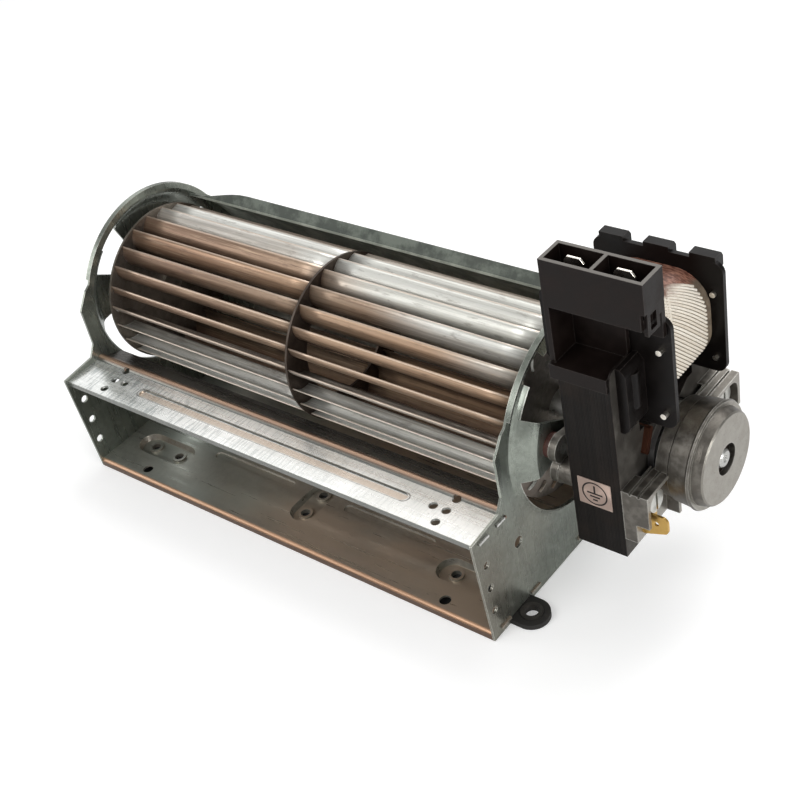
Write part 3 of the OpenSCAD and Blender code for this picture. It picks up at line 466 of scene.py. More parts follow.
def dull_lip_and_painted_light(tree):
    """The scroll's top: its dull greenish lip, and painted light on the curl's inner side, which lies in
    shade.
    """
    height = place_along(tree, 2)
    lip = times(tree, spread(tree, facing(tree, 2), 0.2, 0.6),
                spread(tree, height, AXIS.z + 20 * MM, AXIS.z + 24 * MM))
    # Painted light: the curl's inner side, in shade behind the impeller, takes a pale tone.
    inner = math_node(tree, "MAXIMUM", spread(tree, facing(tree, 1), -0.2, -0.6),
                      spread(tree, facing(tree, 2), -0.2, -0.6))
    mottle = noise(tree, object_place(tree), 130.0, 5.0, 0.65)
    dull = mix(tree, spread(tree, mottle, 0.4, 0.62), rgb(62, 70, 64), rgb(104, 112, 103))
    painted_light_tone = mix(tree, spread(tree, mottle, 0.4, 0.62), rgb(150, 156, 145), rgb(186, 191, 179))
    inner = times(tree, inner, spread(tree, height, AXIS.z - 4 * MM, AXIS.z + 2 * MM))
    mask = math_node(tree, "MAXIMUM", lip, inner)
    return times(tree, mask, 0.92), mix(tree, lip, painted_light_tone, dull)


def outlet_floor_painted_light(tree, base):
    """Painted light on the base sheet inside the outlet: lighter tones, greenish at the left, browner to the
    right.
    """
    up = spread(tree, facing(tree, 2), 0.5, 0.9)
    low = spread(tree, place_along(tree, 2), 7 * MM, 5 * MM)
    wander = math_node(tree, "MULTIPLY_ADD", noise(tree, object_place(tree), 30.0, 3.0), 0.08,
                       place_along(tree, 0))
    # Painted light: these tones are lighter than the sheet and lie in soft patches of painted sheen.
    tone = mix(tree, spread(tree, wander, -0.03, 0.06), rgb(182, 190, 181), rgb(200, 180, 160))
    painted_sheen_patches = spread(tree, noise(tree, object_place(tree, (16, 40, 1)), 1.0, 3.0), 0.38, 0.62, 0.35, 0.9)
    mask = times(tree, times(tree, up, low), painted_sheen_patches)
    return mix(tree, mask, base, tone)


def copper_bulge(tree, base):
    """The raised line behind the shelf: copper with a brown edge; beyond it, painted shade on the
    down-turned tongue.
    """
    across = place_along(tree, 1)
    line = band(tree, across, SHELF_FRONT + 14.7 * MM, SHELF_FRONT + 18.2 * MM, 0.4 * MM)
    tone = mix(tree, band(tree, across, SHELF_FRONT + 15.4 * MM, SHELF_FRONT + 16.6 * MM, 0.4 * MM),
               rgb(120, 92, 74), rgb(196, 160, 134))
    base = mix(tree, times(tree, line, 0.92), base, tone)
    # Painted shade: the down-turned tongue beyond the line is dark.
    beyond = spread(tree, across, SHELF_FRONT + 18.3 * MM, SHELF_FRONT + 18.7 * MM)
    return mix(tree, times(tree, beyond, 0.9), base, rgb(72, 66, 60))


def shaded_front_fold(tree, base):
    """Painted shade: the shelf's front fold, which faces forward, is darker than its top."""
    # Painted shade on the faces that turn to the front.
    front = spread(tree, facing(tree, 1), -0.4, -0.8)
    return mix(tree, times(tree, front, 0.85), base, rgb(104, 106, 101))


def groove_outline(tree, base):
    """Painted shade in a dark rim round the pressed groove along the shelf, and a warm tint on its floor."""
    place = object_place(tree, centre=(0, GROOVE_MIDDLE, 0))
    split = add(tree, "ShaderNodeSeparateXYZ", {0: place}).outputs
    beyond = math_node(tree, "SUBTRACT", math_node(tree, "ABSOLUTE", split[0]), GROOVE_STRAIGHT)
    beyond = math_node(tree, "MAXIMUM", beyond, 0.0)
    away = math_node(tree, "SQRT", math_node(tree, "ADD", math_node(tree, "POWER", beyond, 2.0),
                                             math_node(tree, "POWER", split[1], 2.0)))
    away = math_node(tree, "MULTIPLY_ADD", noise(tree, object_place(tree), 500.0, 2.0), 0.3 * MM, away)
    # Painted shade: a dark rim round the groove.
    rim = band(tree, away, 1.75 * MM, 2.15 * MM, 0.25 * MM)
    floor = spread(tree, away, 1.7 * MM, 1.2 * MM)
    base = mix(tree, times(tree, floor, 0.6), base, rgb(204, 180, 156))
    return mix(tree, times(tree, rim, 0.75), base, rgb(78, 70, 62))


def hatch_marks(tree, base):
    """Fine rolled ticks across the shelf, stronger at its left."""
    ticks = spread(tree, noise(tree, object_place(tree, (1500, 130, 1)), 1.0, 1.0), 0.52, 0.6)
    left = spread(tree, place_along(tree, 0), 0.05, -0.07, 0.12, 0.5)
    return mix(tree, times(tree, ticks, left), base, rgb(132, 142, 142))


def cast_metal(name, light, dark, roughness=(0.3, 0.48)):
    """Die-cast alloy: fine pitted skin, painted light on the faces that turn towards plus X, and polished
    edges.
    """
    material, tree, shader = new_material(name)
    place = object_place(tree)
    clouds = noise(tree, place, 380.0, 3.0, 0.5)
    pits = noise(tree, place, 1900.0, 3.0, 0.6)
    # Painted light: faces that turn towards plus X are lighter.
    base = mix(tree, spread(tree, facing(tree, 0), 0.5, 0.9), dark, light)
    base = mix(tree, spread(tree, clouds, 0.4, 0.7, 0.0, 0.3), base, light)
    base = mix(tree, spread(tree, pits, 0.58, 0.72, 0.0, 0.4), base, rgb(56, 53, 49))
    wear = edge_wear(tree, 0.8 * MM, 0.3)
    base = mix(tree, times(tree, wear, 0.8), base, rgb(205, 203, 196))
    wire(tree, shader, base_color=base, metallic=0.85, roughness=spread(tree, clouds, 0.3, 0.7, *roughness))
    bump(tree, shader, pits, 0.3)
    return material


def moulded_plastic(name, body, edge, roughness=0.42, highlight_top=None, rubbed=0.45):
    """Moulded plastic: nearly black, faintly mottled, grey where its edges are rubbed.

    The rim at the given top height gets a painted highlight."""
    material, tree, shader = new_material(name)
    place = object_place(tree)
    mottle = noise(tree, place, 160.0, 4.0)
    skin = noise(tree, place, 2600.0, 2.0)
    lifted = tuple(min(1.0, v * 1.7) for v in body[:3]) + (1.0,)
    base = mix(tree, spread(tree, mottle, 0.4, 0.75), body, lifted)
    wear = edge_wear(tree, 0.5 * MM, 0.5)
    base = mix(tree, times(tree, wear, rubbed), base, edge)
    if highlight_top:
        # Painted highlight: the top rim is pale.
        rim = spread(tree, place_along(tree, 2), highlight_top - 0.15 * MM, highlight_top, 0.0, 0.85)
        base = mix(tree, rim, base, edge)
    rough = spread(tree, mottle, 0.3, 0.7, roughness - 0.06, roughness + 0.1)
    wire(tree, shader, base_color=base, roughness=rough)
    shader.inputs["Specular IOR Level"].default_value = 0.15
    bump(tree, shader, skin, 0.12)
    return material


def plain_metal(name, colour, roughness, metallic=1.0, dirt=rgb(60, 52, 44)):
    """Turned, plated or drawn metal with a faint fine bump and a little dirt."""
    material, tree, shader = new_material(name)
    place = object_place(tree)
    clouds = noise(tree, place, 200.0, 4.0)
    dirty = spread(tree, clouds, 0.55, 0.8, 0.0, 0.5)
    base = mix(tree, dirty, colour, dirt)
    wear = edge_wear(tree, 0.3 * MM, 0.2)
    brighter = tuple(min(1.0, v * 1.5) for v in colour[:3]) + (1.0,)
    base = mix(tree, times(tree, wear, 0.6), base, brighter)
    rough = spread(tree, clouds, 0.3, 0.8, roughness, roughness + 0.18)
    wire(tree, shader, base_color=base, metallic=metallic, roughness=rough)
    bump(tree, shader, noise(tree, place, 3000.0, 2.0), 0.15, 0.1 * MM)
    return material


def soft_rubber(name, body, edge, roughness=0.7):
    material, tree, shader = new_material(name)
    place = object_place(tree)
    mottle = noise(tree, place, 260.0, 4.0)
    base = mix(tree, spread(tree, mottle, 0.4, 0.8), body, edge)
    wire(tree, shader, base_color=base, roughness=roughness)
    bump(tree, shader, noise(tree, place, 1800.0, 3.0), 0.3)
    return material


def laminated_steel(name):
    """Side of a lamination stack: thin dark sheets, each with its own tone."""
    material, tree, shader = new_material(name)
    pitch = 0.5 * MM
    place = object_place(tree)
    sheet = math_node(tree, "DIVIDE", place_along(tree, 0), pitch)
    number = math_node(tree, "FLOOR", sheet)
    gap = math_node(tree, "PINGPONG", sheet, 0.5)
    tone = add(tree, "ShaderNodeTexWhiteNoise", {"W": number}, noise_dimensions="1D").outputs[0]
    clouds = noise(tree, place, 90.0, 5.0, 0.6)
    base = mix(tree, tone, rgb(15, 13, 12), rgb(28, 24, 22))
    base = mix(tree, spread(tree, clouds, 0.45, 0.75, 0.0, 0.7), base, rgb(40, 34, 30))
    wear = edge_wear(tree, 0.5 * MM, 0.6)
    base = mix(tree, times(tree, wear, 0.35), base, rgb(92, 82, 74))
    bare = mix(tree, spread(tree, clouds, 0.4, 0.65), rgb(58, 55, 51), rgb(86, 83, 78))
    base = mix(tree, spread(tree, facing(tree, 0), 0.6, 0.9), base, bare)
    wire(tree, shader, base_color=base, metallic=0.25, roughness=spread(tree, clouds, 0.3, 0.7, 0.42, 0.62))
    shader.inputs["Specular IOR Level"].default_value = 0.15
    ridge = spread(tree, gap, 0.0, 0.16)
    height = math_node(tree, "MULTIPLY_ADD", tone, 0.4, ridge)
    bump(tree, shader, height, 0.35, 0.1 * MM)
    return material


def blade_metal():
    """Blade sheet: painted silver highlight near the top and the outlet, copper-brown between, painted shade
    towards the bore.
    """
    material, tree, shader = new_material("blade_sheet")
    across = stored_value(tree, "across")
    tone = stored_value(tree, "tone")
    highlight = highlight_share(tree)
    grain = brushed_grain(tree, (18, 900, 900))
    warm = mix(tree, tone, rgb(192, 160, 132), rgb(176, 154, 134))
    # A darker tone towards the left end of the impeller.
    left_darker_tone = mix(tree, tone, rgb(160, 128, 104), rgb(142, 118, 102))
    warm = mix(tree, spread(tree, place_along(tree, 0), -70 * MM, 10 * MM), left_darker_tone, warm)
    highlight_tone = mix(tree, tone, rgb(222, 222, 214), rgb(242, 242, 236))
    # Painted highlight: near the top and at the outlet the blades turn bright silver.
    strip = mix(tree, highlight, warm, highlight_tone)
    # Painted shade: each blade darkens from its outer edge towards the bore, as in the gaps between blades.
    deep = mix(tree, highlight, rgb(86, 69, 57), rgb(130, 126, 118))
    base = mix(tree, spread(tree, across, 0.1, 0.7), deep, strip)
    base = mix(tree, spread(tree, grain["Streaks"], 0.42, 0.66, 0.0, 0.6), base,
               mix(tree, highlight, rgb(104, 84, 69), rgb(166, 163, 155)))
    # Painted highlight along the fine streaks.
    base = mix(tree, spread(tree, grain["Fine"], 0.52, 0.7, 0.0, 0.45), base,
               mix(tree, highlight, rgb(214, 188, 160), rgb(244, 242, 236)))
    soot = noise(tree, object_place(tree, (120, 500, 500)), 1.0, 4.0, 0.6)
    base = mix(tree, spread(tree, soot, 0.56, 0.7, 0.0, 0.35), base, rgb(84, 70, 60))
    # Painted highlight: a bright line along each blade's outer edge.
    base = mix(tree, spread(tree, across, 0.95, 0.98, 0.0, 0.6), base, rgb(222, 204, 186))
    wire(tree, shader, base_color=base, metallic=0.62,
         roughness=spread(tree, grain["Streaks"], 0.3, 0.7, 0.3, 0.46))
    bump(tree, shader, grain["Streaks"], 0.35)
    return material


def highlight_share(tree):
    """1 on the blades that get a painted silver highlight: those past the top, further forward on the right,
    and the lowest at the front. Each blade carries its own angle round the axis in 'turn'."""
    turn = stored_value(tree, "turn")
    limit = spread(tree, place_along(tree, 0), -20 * MM, 75 * MM, HIGHLIGHT_TOP,
                   HIGHLIGHT_TOP + HIGHLIGHT_WIDENS, False)
    past = math_node(tree, "SUBTRACT", turn, limit)
    top = spread(tree, past, -HIGHLIGHT_SOFT, HIGHLIGHT_SOFT, 1.0, 0.0)
    top = times(tree, top, spread(tree, turn, HIGHLIGHT_BACK, HIGHLIGHT_BACK + HIGHLIGHT_SOFT))
    low = band(tree, turn, HIGHLIGHT_LOW - HIGHLIGHT_SOFT, HIGHLIGHT_LOW_END, 2 * HIGHLIGHT_SOFT)
    return math_node(tree, "MAXIMUM", top, low)


def coil_tape():
    """Paper and varnish under the threads: taupe at the sides, red-brown over the top."""
    material, tree, shader = new_material("coil_tape")
    place = object_place(tree)
    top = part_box("coil_winding")[1].z
    mottle = noise(tree, place, 420.0, 4.0, 0.6)
    side = mix(tree, spread(tree, mottle, 0.35, 0.7), rgb(92, 80, 66), rgb(126, 112, 94))
    wander = times(tree, noise(tree, place, 260.0, 3.0), 3 * MM)
    level = math_node(tree, "SUBTRACT", place_along(tree, 2), wander)
    varnish = spread(tree, level, top - 4.8 * MM, top - 3 * MM)
    fibre = noise(tree, object_place(tree, (500, 2400, 900)), 1.0, 3.0)
    brown = mix(tree, spread(tree, fibre, 0.4, 0.65), rgb(96, 58, 46), rgb(164, 118, 98))
    base = mix(tree, varnish, side, brown)
    wire(tree, shader, base_color=base, roughness=spread(tree, varnish, 0.0, 1.0, 0.7, 0.5))
    bump(tree, shader, mix(tree, varnish, mottle, fibre), 0.35, 0.3 * MM)
    return material


def glass_thread():
    """Thread of the tape over the winding: off-white, each with its own tone."""
    material, tree, shader = new_material("coil_threads")
    tone = stored_value(tree, "tone")
    twist = noise(tree, object_place(tree, (900, 1800, 1800)), 1.0, 3.0)
    base = mix(tree, tone, rgb(216, 206, 190), rgb(238, 232, 220))
    base = mix(tree, spread(tree, twist, 0.5, 0.8, 0.0, 0.5), base, rgb(186, 172, 150))
    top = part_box("coil_winding")[1].z
    stain = math_node(tree, "MULTIPLY_ADD", noise(tree, object_place(tree), 220.0, 3.0), 4 * MM,
                      place_along(tree, 2))
    stained = spread(tree, stain, top + 0.4 * MM, top + 2.2 * MM, 0.0, 0.92)
    base = mix(tree, stained, base, rgb(122, 78, 62))
    wire(tree, shader, base_color=base, roughness=0.6)
    bump(tree, shader, twist, 0.35)
    return material


# How far the grain of a sheet is stretched across its streaks
ALONG_X, ALONG_Z, EVEN = (25, 600, 600), (300, 300, 30), (200, 200, 200)

# The finishes, and the nodes that have them
FINISH = {
    "scroll_housing": zinc_sheet(
        "galvanised_sheet", light=rgb(176, 174, 164), dark=rgb(130, 126, 117), warm=rgb(134, 108, 90),
        warm_amount=0.5, stretch=ALONG_X, edge=rgb(228, 220, 206), roughness=(0.26, 0.42), metallic=0.72,
        touches=(outlet_floor_painted_light, copper_hem), dull_and_painted_light=dull_lip_and_painted_light),
    "outlet_shelf": zinc_sheet(
        "shelf_sheet", light=rgb(244, 245, 243), dark=rgb(222, 224, 221), warm=rgb(214, 202, 188),
        warm_amount=0.2, stretch=ALONG_X, edge=rgb(150, 150, 142), roughness=(0.22, 0.34), metallic=0.8,
        touches=(hatch_marks, groove_outline, copper_bulge, shaded_front_fold)),
    "plates": zinc_sheet(
        "plate_sheet", light=rgb(152, 158, 149), dark=rgb(120, 125, 117), warm=rgb(132, 110, 92),
        warm_amount=0.35, stretch=ALONG_Z, edge=rgb(226, 226, 218), roughness=(0.22, 0.36), metallic=0.82),
    "discs": zinc_sheet(
        "impeller_sheet", light=rgb(138, 130, 121), dark=rgb(94, 87, 79), warm=rgb(120, 96, 80),
        warm_amount=0.35, stretch=EVEN, edge=rgb(166, 158, 148), roughness=(0.3, 0.42), metallic=0.8),
    "ring": zinc_sheet(
        "ring_sheet", light=rgb(92, 82, 74), dark=rgb(60, 52, 46), warm=rgb(104, 82, 68),
        warm_amount=0.35, stretch=EVEN, edge=rgb(98, 88, 80), roughness=(0.34, 0.46), metallic=0.75),
    "blades": blade_metal(),
    "stack": laminated_steel("lamination_steel"),
    "bobbin": moulded_plastic("bobbin_plastic", rgb(13, 10, 9), rgb(70, 64, 60), 0.34),
    "terminals": moulded_plastic("terminal_plastic", rgb(20, 14, 12), rgb(122, 118, 113), 0.4,
                                 highlight_top=SOCKET_TOP, rubbed=0.2),
    "tape": coil_tape(),
    "cast": cast_metal("die_cast", rgb(158, 154, 146), rgb(96, 92, 86)),
    "turned": plain_metal("turned_steel", rgb(190, 190, 186), 0.25),
    "plated": plain_metal("plated_steel", rgb(206, 206, 200), 0.26),
    "tinned": plain_metal("tinned_metal", rgb(244, 238, 226), 0.22),
    "spring": plain_metal("spring_steel", rgb(170, 170, 166), 0.3),
    "black_steel": plain_metal("black_steel", rgb(48, 46, 45), 0.45, 0.7),
    "rotor": plain_metal("rotor_steel", rgb(120, 116, 112), 0.4, 0.9),
    "aluminium": plain_metal("cast_aluminium", rgb(176, 176, 174), 0.4),
    "copper": plain_metal("copper", rgb(92, 58, 44), 0.45, 0.9, rgb(52, 36, 28)),
    "bronze": plain_metal("sintered_bronze", rgb(150, 116, 70), 0.5),
    # Near-black bronze for the outer bush.
    "dark_bronze": plain_metal("dark_bronze", rgb(46, 38, 31), 0.5, 0.8, rgb(24, 20, 17)),
    "brass": plain_metal("brass_sheet", rgb(206, 168, 96), 0.24, 1.0, rgb(130, 92, 44)),
    "label": moulded_plastic("label_film", rgb(150, 132, 122), rgb(196, 180, 168), 0.4),
    "print": moulded_plastic("label_print", rgb(34, 30, 29), rgb(60, 54, 52), 0.5),
    "black_rubber": soft_rubber("black_rubber", rgb(30, 28, 27), rgb(52, 49, 47)),
    "brown_rubber": soft_rubber("brown_rubber", rgb(74, 40, 32), rgb(104, 62, 50), 0.55),
    "foot": soft_rubber("foot_rubber", rgb(30, 28, 26), rgb(46, 43, 40)),
    "foot_ring": soft_rubber("foot_ring", rgb(44, 42, 39), rgb(64, 60, 56), 0.5),
}

NODE_FINISH = {
    "scroll_housing": "scroll_housing", "outlet_shelf": "outlet_shelf",
    "left_end_plate": "plates", "right_end_plate": "plates",
    "impeller_left_disc": "discs", "impeller_middle_ring": "ring", "impeller_right_disc": "discs",
    "left_stub_axle": "turned", "impeller_hub": "turned", "hub_grub_screw": "black_steel",
    "left_bearing_bush": "bronze", "left_bearing_grommet": "black_rubber",
    "left_bearing_retainer": "spring", "motor_shaft": "turned", "rotor_core": "rotor",
    "rotor_end_rings": "aluminium", "stator_core": "stack", "core_bridge": "stack",
    "shading_rings": "copper", "coil_bobbin": "bobbin", "coil_winding": "tape",
    "coil_pins": "tinned", "terminal_housing": "terminals", "front_spade_terminals": "tinned",
    "inner_bearing_bracket": "cast", "outer_bearing_bracket": "cast",
    "inner_bearing_bush": "bronze", "outer_bearing_bush": "dark_bronze", "bearing_clips": "spring",
    "motor_screws": "plated", "earth_tab": "brass", "earth_plate": "label",
    "motor_mount_bushes": "brown_rubber", "motor_mount_screws": "plated",
    "mounting_foot": "foot", "foot_grommet": "foot_ring", "foot_rivet": "plated",
}


def finish_nodes():
    for name, finish in NODE_FINISH.items():
        mesh = nodes[name].data
        mesh.materials.clear()
        mesh.materials.append(FINISH[finish])


# Short ways to build Geometry Nodes and meshes
def new_maker(name, sockets):
    """A node tree that takes a mesh, these sockets and a material, and its input sockets."""
    tree = bpy.data.node_groups.new(name, "GeometryNodeTree")
    for label, kind in [("Geometry", "Geometry"), *sockets, ("Material", "Material")]:
        tree.interface.new_socket(label, in_out="INPUT", socket_type="NodeSocket" + kind)
    tree.interface.new_socket("Geometry", in_out="OUTPUT", socket_type="NodeSocketGeometry")
    return tree, tree.nodes.new("NodeGroupInput").outputs


def end_maker(tree, start, geometry):
    """Makes copies real and gives the result its material."""
    real = add(tree, "GeometryNodeRealizeInstances", {0: geometry})
    done = add(tree, "GeometryNodeSetMaterial", {"Geometry": real.outputs[0], "Material": start["Material"]})
    add(tree, "NodeGroupOutput", {0: done.outputs[0]})
    return tree


def add_piece(name, mesh, body):
    """Links a mesh as a piece that rides on a body."""
    piece = bpy.data.objects.new(name, mesh)
    bpy.context.scene.collection.objects.link(piece)
    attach(piece, body)
    return piece


def mesh_piece(name, bm, finish, body):
    mesh = bpy.data.meshes.new(name)
    bm.to_mesh(mesh)
    bm.free()
    mesh.materials.append(FINISH[finish])
    return add_piece(name, mesh, body)


def circle_points(radius, steps):
    angles = [2 * math.pi * k / steps for k in range(steps)]
    return [(radius * math.cos(a), radius * math.sin(a)) for a in angles]


def join_loops(bm, loops):
    """Faces between each closed loop of points and the next."""
    count = len(loops[0])
    for low, high in zip(loops, loops[1:]):
        for k in range(count):
            bm.faces.new((low[k], low[(k + 1) % count], high[(k + 1) % count], high[k]))


# Blades: copies of one shape round the impeller's axis
def copies_round_axis():
    tree, start = new_maker("copies_round_axis", [("Count", "Int"), ("Phase", "Float"),
                                                  ("Centre", "Vector"), ("Seed", "Int")])
    points = add(tree, "GeometryNodeMeshLine", {"Count": start["Count"], "Start Location": start["Centre"],
                                                "Offset": (0, 0, 0)})
    step = math_node(tree, "DIVIDE", 2 * math.pi, start["Count"])
    index = add(tree, "GeometryNodeInputIndex").outputs[0]
    angle = math_node(tree, "MULTIPLY_ADD", index, step, start["Phase"])
    turn = add(tree, "ShaderNodeCombineXYZ", {0: angle}).outputs[0]
    copies = add(tree, "GeometryNodeInstanceOnPoints", {
        "Points": points.outputs[0], "Instance": start["Geometry"],
        "Rotation": add(tree, "FunctionNodeEulerToRotation", {0: turn}).outputs[0]})
    tone = add(tree, "FunctionNodeRandomValue", {"Seed": start["Seed"]}, data_type="FLOAT")
    toned = store(tree, copies.outputs[0], "tone", tone.outputs[1])
    return end_maker(tree, start, store(tree, toned, "turn", angle))


def store(tree, geometry, name, value, domain="INSTANCE"):
    """Gives each copy or point a number that a material can read."""
    node = add(tree, "GeometryNodeStoreNamedAttribute", {"Geometry": geometry, "Name": name},
               data_type="FLOAT", domain=domain)
    tree.links.new(value, next(s for s in node.inputs if s.name == "Value" and s.enabled))
    return node.outputs[0]


def blade_points(r_in, r_out, steps):
    """The blade's middle line from r_in to r_out: its place, and the way across its thickness."""
    arc_r = (BLADE_OUT_R ** 2 - BLADE_IN_R ** 2) / (2 * BLADE_OUT_R * math.cos(BLADE_EXIT))
    centre_r = math.hypot(BLADE_IN_R, arc_r)

    def turn_at(r):
        return math.acos((r * r + centre_r ** 2 - arc_r ** 2) / (2 * r * centre_r))

    out_turn = turn_at(BLADE_OUT_R)
    centre = Vector((centre_r * math.cos(out_turn), -centre_r * math.sin(out_turn)))
    found = []
    for i in range(steps + 1):
        r = r_in + (r_out - r_in) * i / steps
        a = turn_at(r) - out_turn
        place = Vector((r * math.cos(a), r * math.sin(a)))
        found.append((place, (place - centre).normalized()))
    return found


def add_strip(bm, layer, line, x_start, x_end, x_steps, shares):
    """A closed sheet with the given middle line, run along X. shares gives 'across' for each point."""
    ring = [(p + n * BLADE_T / 2, s) for (p, n), s in zip(line, shares)]
    ring += [(p - n * BLADE_T / 2, s) for (p, n), s in reversed(list(zip(line, shares)))]
    rows = []
    for k in range(x_steps + 1):
        x = x_start + (x_end - x_start) * k / x_steps
        row = [bm.verts.new((x, p.x, p.y)) for p, _ in ring]
        for vert, (_, share) in zip(row, ring):
            vert[layer] = share
        rows.append(row)
    join_loops(bm, rows)
    count = len(ring)
    for row in (rows[0], rows[-1]):
        for j in range(count // 2 - 1):
            bm.faces.new((row[j], row[j + 1], row[count - 2 - j], row[count - 1 - j]))


def blade_mesh(x_start, x_end, tab_side):
    """One blade with the tab through its disc. 'across' is 0 at its inner edge and 1 at its outer one."""
    bm = bmesh.new()
    layer = bm.verts.layers.float.new("across")
    line = blade_points(BLADE_IN_R, BLADE_OUT_R, BLADE_STEPS)
    shares = [i / BLADE_STEPS for i in range(BLADE_STEPS + 1)]
    add_strip(bm, layer, line, x_start, x_end, BLADE_ROWS, shares)
    tab_at = x_start if tab_side < 0 else x_end
    tab = blade_points(TAB_IN_R, TAB_OUT_R, TAB_STEPS)
    add_strip(bm, layer, tab, tab_at, tab_at + tab_side * TAB_LEN, 1, [0.6] * (TAB_STEPS + 1))
    bmesh.ops.recalc_face_normals(bm, faces=bm.faces)
    mesh = bpy.data.meshes.new("blade")
    bm.to_mesh(mesh)
    bm.free()
    mesh.shade_smooth()
    return mesh


def bake(name, mesh, tree, body, slot, **inputs):
    """Runs a node tree on a mesh and returns the result as a plain piece that rides on a body."""
    source = bpy.data.objects.new(name + "_source", mesh)
    bpy.context.scene.collection.objects.link(source)
    modifier = source.modifiers.new("nodes", "NODES")
    modifier.node_group = tree
    for socket in tree.interface.items_tree:
        if socket.in_out == "INPUT" and socket.name in inputs:
            modifier[socket.identifier] = inputs[socket.name]
    graph = bpy.context.evaluated_depsgraph_get()
    made = bpy.data.meshes.new_from_object(source.evaluated_get(graph))
    bpy.data.objects.remove(source)
    return add_piece(name, made, body)


def make_blades():
    tree = copies_round_axis()
    near, far = DISC_T / 2, STAGE_LEN - DISC_T / 2
    stages = [("left", -far, -near, -1, LEFT_PHASE, 11), ("right", near, far, 1, RIGHT_PHASE, 12)]
    for side, x_start, x_end, tab_side, phase, seed in stages:
        mesh = blade_mesh(x_start, x_end, tab_side)
        inputs = {"Count": BLADE_COUNT, "Phase": phase, "Centre": (0.0, AXIS.y, AXIS.z), "Seed": seed,
                  "Material": FINISH["blades"]}
        blades = bake(f"{side}_blade_ring", mesh, tree, "impeller", "blade_sheet", **inputs)
        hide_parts(f"impeller_{side}_blades")


# Threads side by side, slanted, on a surface that is an outline run along Y
def threads_on_outline():
    tree, start = new_maker("threads_on_outline", [
        ("Count", "Int"), ("Pitch", "Float"), ("First", "Float"), ("Slant", "Float"), ("Start Y", "Float"),
        ("Length", "Float"), ("Radius", "Float"), ("Seed", "Int")])
    outline = add(tree, "GeometryNodeMeshToCurve", {0: start["Geometry"]})
    reach = add(tree, "ShaderNodeCombineXYZ", {1: start["Length"]}).outputs[0]
    line = add(tree, "GeometryNodeCurvePrimitiveLine", {"Start": (0, 0, 0), "End": reach})
    line = add(tree, "GeometryNodeResampleCurve", {"Curve": line.outputs[0], "Count": 24}, mode="COUNT")
    lines = add(tree, "GeometryNodeDuplicateElements",
                {"Geometry": line.outputs[0], "Amount": start["Count"]}, domain="SPLINE")
    number = lines.outputs["Duplicate Index"]
    along = component(tree, add(tree, "GeometryNodeInputPosition").outputs[0], 1)
    round_by = math_node(tree, "MULTIPLY_ADD", number, start["Pitch"], start["First"])
    round_by = math_node(tree, "MULTIPLY_ADD", along, start["Slant"], round_by)
    sample = add(tree, "GeometryNodeSampleCurve", {"Curves": outline.outputs[0], "Length": round_by},
                 mode="LENGTH")
    spot = add(tree, "ShaderNodeSeparateXYZ", {0: sample.outputs["Position"]}).outputs
    y = math_node(tree, "ADD", along, start["Start Y"])
    before = add(tree, "FunctionNodeCompare", {0: round_by, 1: 0.0}, data_type="FLOAT",
                 operation="LESS_THAN")
    kept = add(tree, "GeometryNodeDeleteGeometry",
               {"Geometry": lines.outputs[0], "Selection": before.outputs[0]}, domain="POINT")
    laid = add(tree, "GeometryNodeSetPosition", {
        "Geometry": kept.outputs[0],
        "Position": add(tree, "ShaderNodeCombineXYZ", {0: spot[0], 1: y, 2: spot[2]}).outputs[0]})
    tone = add(tree, "FunctionNodeRandomValue", {"ID": number, "Seed": start["Seed"]}, data_type="FLOAT")
    toned = store(tree, laid.outputs[0], "tone", tone.outputs[1], "POINT")
    section = add(tree, "GeometryNodeCurvePrimitiveCircle", {"Resolution": 6, "Radius": start["Radius"]})
    tubes = add(tree, "GeometryNodeCurveToMesh", {"Curve": toned, "Profile Curve": section.outputs[0],
                                                  "Fill Caps": True})
    smooth = add(tree, "GeometryNodeSetShadeSmooth", {0: tubes.outputs[0]})
    return end_maker(tree, start, smooth.outputs[0])


def winding_outline(low, high, corner, first, last):
    """Open line round the winding, from its right shoulder down under it and up to the left one.

    first and last are the angles from plus X at which its two upper corners begin and end."""
    middle_y = (low.y + high.y) / 2
    centres = [(high.x - corner, high.z - corner, first, 0), (high.x - corner, low.z + corner, 0, -90),
               (low.x + corner, low.z + corner, -90, -180), (low.x + corner, high.z - corner, -180, last)]
    points = [(high.x - corner - THREADS_FROM, middle_y, high.z)]
    steps = 8
    for x, z, begin, end in centres:
        for k in range(steps + 1):
            angle = math.radians(begin + (end - begin) * k / steps)
            points.append((x + corner * math.cos(angle), middle_y, z + corner * math.sin(angle)))
    mesh = bpy.data.meshes.new("winding_outline")
    mesh.from_pydata(points, [(i, i + 1) for i in range(len(points) - 1)], [])
    return mesh


def make_coil_threads():
    """The tape's threads lie slanted over the winding; near its front shoulders others cross them."""
    low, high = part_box("coil_winding")
    tree = threads_on_outline()
    material = glass_thread()
    outline = winding_outline(low, high, COIL_CORNER, 90, -215)
    margin = 0.1 * MM
    deep = high.y - low.y - 2 * margin
    laid = {"Pitch": THREAD_PITCH, "Start Y": low.y + margin, "Material": material}
    bake("coil_threads", outline, tree, "housing", "coil_tape", Count=76, First=-8 * THREAD_PITCH,
         Slant=1.0, Length=0.9 * deep, Radius=THREAD_R, Seed=5, **laid)
    bake("coil_cross_threads", outline, tree, "housing", "coil_tape", Count=12, First=7 * THREAD_PITCH,
         Slant=-1.0, Length=0.6 * deep, Radius=0.9 * THREAD_R, Seed=6, **laid)


